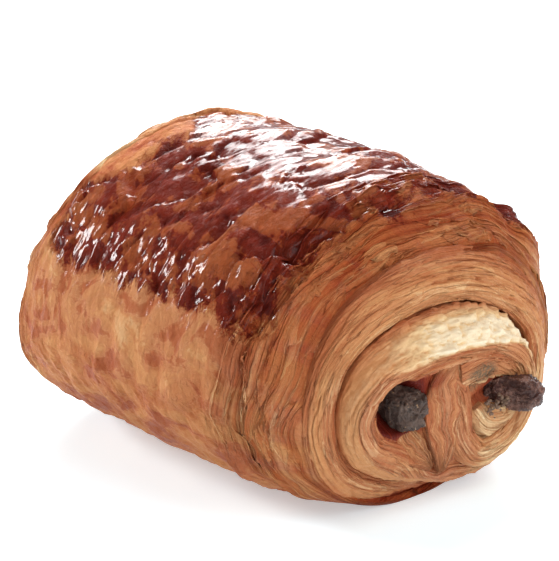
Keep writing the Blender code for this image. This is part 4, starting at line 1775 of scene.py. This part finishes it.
@dataclass
class ChocolateStick:
    """A stick of chocolate that runs through the roll, with its broken, crumbled ends; its finish
    gives it a dusty film, and the right stick a painted sheen.
    """

    node: str
    middle: tuple[float, float]
    width: float
    height: float
    ends: tuple[float, float]
    broken: float = 0.0
    roughness: float = 1.0
    break_from: float = 38.0
    break_rise: float = 1.3
    break_blend: float = 2.5
    gap: float = 0.3
    power: float = 2.8
    end_power: float = 30.0
    channel_end: float = 34.0
    swell: float = 0.16
    uneven: float = 0.9
    flare: float = 0.0
    rings: int = 260
    segments: int = 110

    def build(self, finish: bpy.types.Material) -> bpy.types.Object:
        """Build the stick and dress it.

        Args:
            finish: The chocolate's finish.

        Returns:
            The piece.
        """
        y, z = self.middle
        back_x, front_x = self.ends
        bm, _, places = sphere_grid(self.rings, self.segments)
        for vert, ring, angle in places:
            t = -math.cos(math.pi * ring / self.rings)
            taper = (1 - abs(t) ** self.end_power) ** (1 / self.power) if abs(t) < 1 else 0.0
            x = mix(back_x, front_x, (t + 1) / 2)
            c, s = superellipse(angle, self.power)
            c *= 1 + self.flare * s
            turned = (math.cos(angle) * 1.3 + y, math.sin(angle) * 1.3)
            lump = noise.noise(Vector((x / 3.0, *turned)))
            swell = 1 + self.swell * lump * smooth(self.channel_end, self.channel_end + 4, abs(x))
            x += self.uneven * lump * abs(t) ** 9
            place = Vector((x, y + c * self.width / 2 * taper * swell,
                            z + s * self.height / 2 * taper * swell))
            if self.broken and x > 0:
                share = smooth(y, y - self.break_blend, place.y)
                share *= smooth(self.break_from, front_x - self.gap, x)
                place.x -= self.broken * share
                place.z += self.break_rise * share * smooth(z, z - self.break_blend, place.z)
            away = Vector((0.9 * t ** 9, c, s)).normalized()
            outside = smooth(self.channel_end, self.channel_end + 3, abs(place.x))
            vert.co = (place + away * self.crumble(place) * outside) * MM
        return finish_piece(bm, f"{self.node}_bloomed", finish, self.node)

    def crumble(self, place: Vector) -> float:
        """Height of the rough, crumbled surface at a place, in millimetres."""
        lumps = 0.42 * noise.noise(place * 0.75) + 0.34 * crest(noise.noise(place * 1.3), 2.6)
        grit = 0.18 * noise.noise(place * 2.9) + 0.09 * noise.noise(place * 6.5)
        return self.roughness * (lumps + grit - 0.28)


STICKS = (
    (
        ChocolateStick("chocolate_stick_left", middle=(-6.2, 19.7), width=8.1, height=8.1,
                       ends=(-44.5, 42.0), flare=0.2, power=3.3),
        ChocolateFinish("dusty_chocolate", dark=(0.030, 0.015, 0.011), bloom_and_sheen_tone=(0.16, 0.098, 0.074),
                        crumbs=0.6),
    ),
    (
        ChocolateStick("chocolate_stick_right", middle=(17.2, 17.4), width=9.8, height=6.2,
                       ends=(-47.2, 46.6), broken=3.8),
        # The right stick's paler reddish patches are painted sheen as well as dust.
        ChocolateFinish("dark_chocolate", dark=(0.055, 0.018, 0.014), bloom_and_sheen_tone=(0.31, 0.155, 0.115),
                        cover=0.4, roughness=0.28),
    ),
)
CRUMB_FINISH = ChocolateFinish("crumbled_chocolate", dark=(0.05, 0.02, 0.015),
                               bloom_and_sheen_tone=(0.22, 0.13, 0.085), cover=0.6, crumbs=0.9)


# --- Studio -------------------------------------------------------------------------------


@dataclass(frozen=True)
class SoftLight:
    """A square soft light that faces the object. Its lengths are in metres."""

    name: str
    toward: tuple[float, float, float]
    distance: float
    size: float
    watts: float
    shine: bool = True

    def add(self, target: Vector) -> None:
        """Add the light to the scene.

        Args:
            target: The point that it faces, in metres.
        """
        light = bpy.data.lights.new(self.name, "AREA")
        light.size, light.energy = self.size, self.watts
        obj = bpy.data.objects.new(self.name, light)
        away = Vector(self.toward).normalized()
        obj.location = target + away * self.distance
        obj.rotation_euler = away.to_track_quat("Z", "Y").to_euler()
        obj.visible_glossy = self.shine
        bpy.context.scene.collection.objects.link(obj)


LIGHTS = (
    SoftLight("back_softbox", (-0.69, 0.5, 0.48), distance=0.9, size=0.34, watts=2.6),
    SoftLight("right_softbox", (-0.53, 0.69, 0.5), distance=0.9, size=0.34, watts=4.2),
    SoftLight("high_softbox", (-0.45, 0.51, 0.73), distance=0.9, size=0.32, watts=6.0),
    SoftLight("left_softbox", (-0.69, -0.55, 0.47), distance=0.9, size=0.22, watts=6.8),
    SoftLight("key_light", (0.55, 0.3, 0.85), distance=1.1, size=1.4, watts=10.0, shine=False),
    SoftLight("end_light", (0.95, 0.05, 0.35), distance=1.1, size=0.8, watts=4.0),
    SoftLight("front_fill", (0.45, -0.95, 0.4), distance=1.2, size=0.9, watts=0.9),
)


@dataclass
class Studio:
    """A pale floor, soft lights and the camera. Its lengths are in metres."""

    azimuth: float = 48.0
    elevation: float = 21.0
    distance: float = 0.5805
    target: tuple[float, float, float] = (0.0, 0.0, 0.02175)
    lens: float = 203.8
    shift: tuple[float, float] = (-0.0068, 0.0884)
    floor_tone: Tone = (0.76, 0.88, 0.93)
    world_strength: float = 0.07
    floor_glow: float = 0.42
    glow_tone: Tone = (0.96, 0.99, 1.0)

    def back(self) -> Vector:
        """Direction from the target to the camera."""
        a, e = math.radians(self.azimuth), math.radians(self.elevation)
        return Vector((math.sin(a) * math.cos(e), -math.cos(a) * math.cos(e), math.sin(e)))

    def add_camera(self) -> None:
        """Add the camera and make it the scene's."""
        camera = bpy.data.cameras.new("camera")
        camera.lens = self.lens
        camera.shift_x, camera.shift_y = self.shift
        camera.clip_start = 0.01
        obj = bpy.data.objects.new("camera", camera)
        obj.location = Vector(self.target) + self.back() * self.distance
        obj.rotation_euler = self.back().to_track_quat("Z", "Y").to_euler()
        bpy.context.scene.collection.objects.link(obj)
        bpy.context.scene.camera = obj

    def add_floor(self) -> None:
        """Add the floor, which isn't part of the object."""
        bm = bmesh.new()
        bmesh.ops.create_grid(bm, x_segments=1, y_segments=1, size=4.0)
        mesh = bpy.data.meshes.new("floor")
        bm.to_mesh(mesh)
        bm.free()
        material = bpy.data.materials.new("floor_paper")
        sheet, shader = principled(material)
        grain = sheet.noise(sheet.add("ShaderNodeTexCoord").outputs["Object"], 300.0)
        sheet.feed(shader.inputs["Roughness"], sheet.span(grain, 0.3, 0.7, 0.75, 0.9))
        set_values(shader, {
            "Base Color": (*self.floor_tone, 1.0), "Emission Color": (*self.glow_tone, 1.0),
            "Emission Strength": self.floor_glow,
        })
        mesh.materials.append(material)
        floor = bpy.data.objects.new("floor", mesh)
        bpy.context.scene.collection.objects.link(floor)

    def build(self) -> None:
        """Set up floor, world, lights and camera."""
        scene = bpy.context.scene
        scene.view_settings.view_transform = "Standard"
        world = bpy.data.worlds.new("studio")
        world.use_nodes = True
        set_values(world.node_tree.nodes["Background"],
                   {"Color": (1.0, 1.0, 1.0, 1.0), "Strength": self.world_strength})
        scene.world = world
        self.add_floor()
        for light in LIGHTS:
            light.add(Vector(self.target))
        self.add_camera()


def main() -> None:
    """Build every piece of the pastry and its studio."""
    logging.basicConfig(level=logging.INFO, format="%(message)s")
    Studio().build()
    browning, layering = Browning().group(), Layering().group()
    crust_skin = CrustFinish().build(browning, layering)
    dough = DoughFinish().build(browning, layering)
    crust = Crust()
    crust.build(crust_skin)
    Flakes(crust).build(crust_skin)
    large_flakes = Flakes(
        crust, "large_flakes", count=40, angles=(10.0, 170.0), paler=0.05, long_side=(4.0, 11.0),
        short_side=(1.6, 4.0), lift=(0.3, 0.9), reach=10.0, seed=31,
    )
    large_flakes.build(crust_skin)
    for end in End:
        RolledEnd(end).build(dough)
    for stick, finish in STICKS:
        stick.build(finish.build())
    Crumbs().build(CRUMB_FINISH.build())


if __name__ == "__main__":
    main()
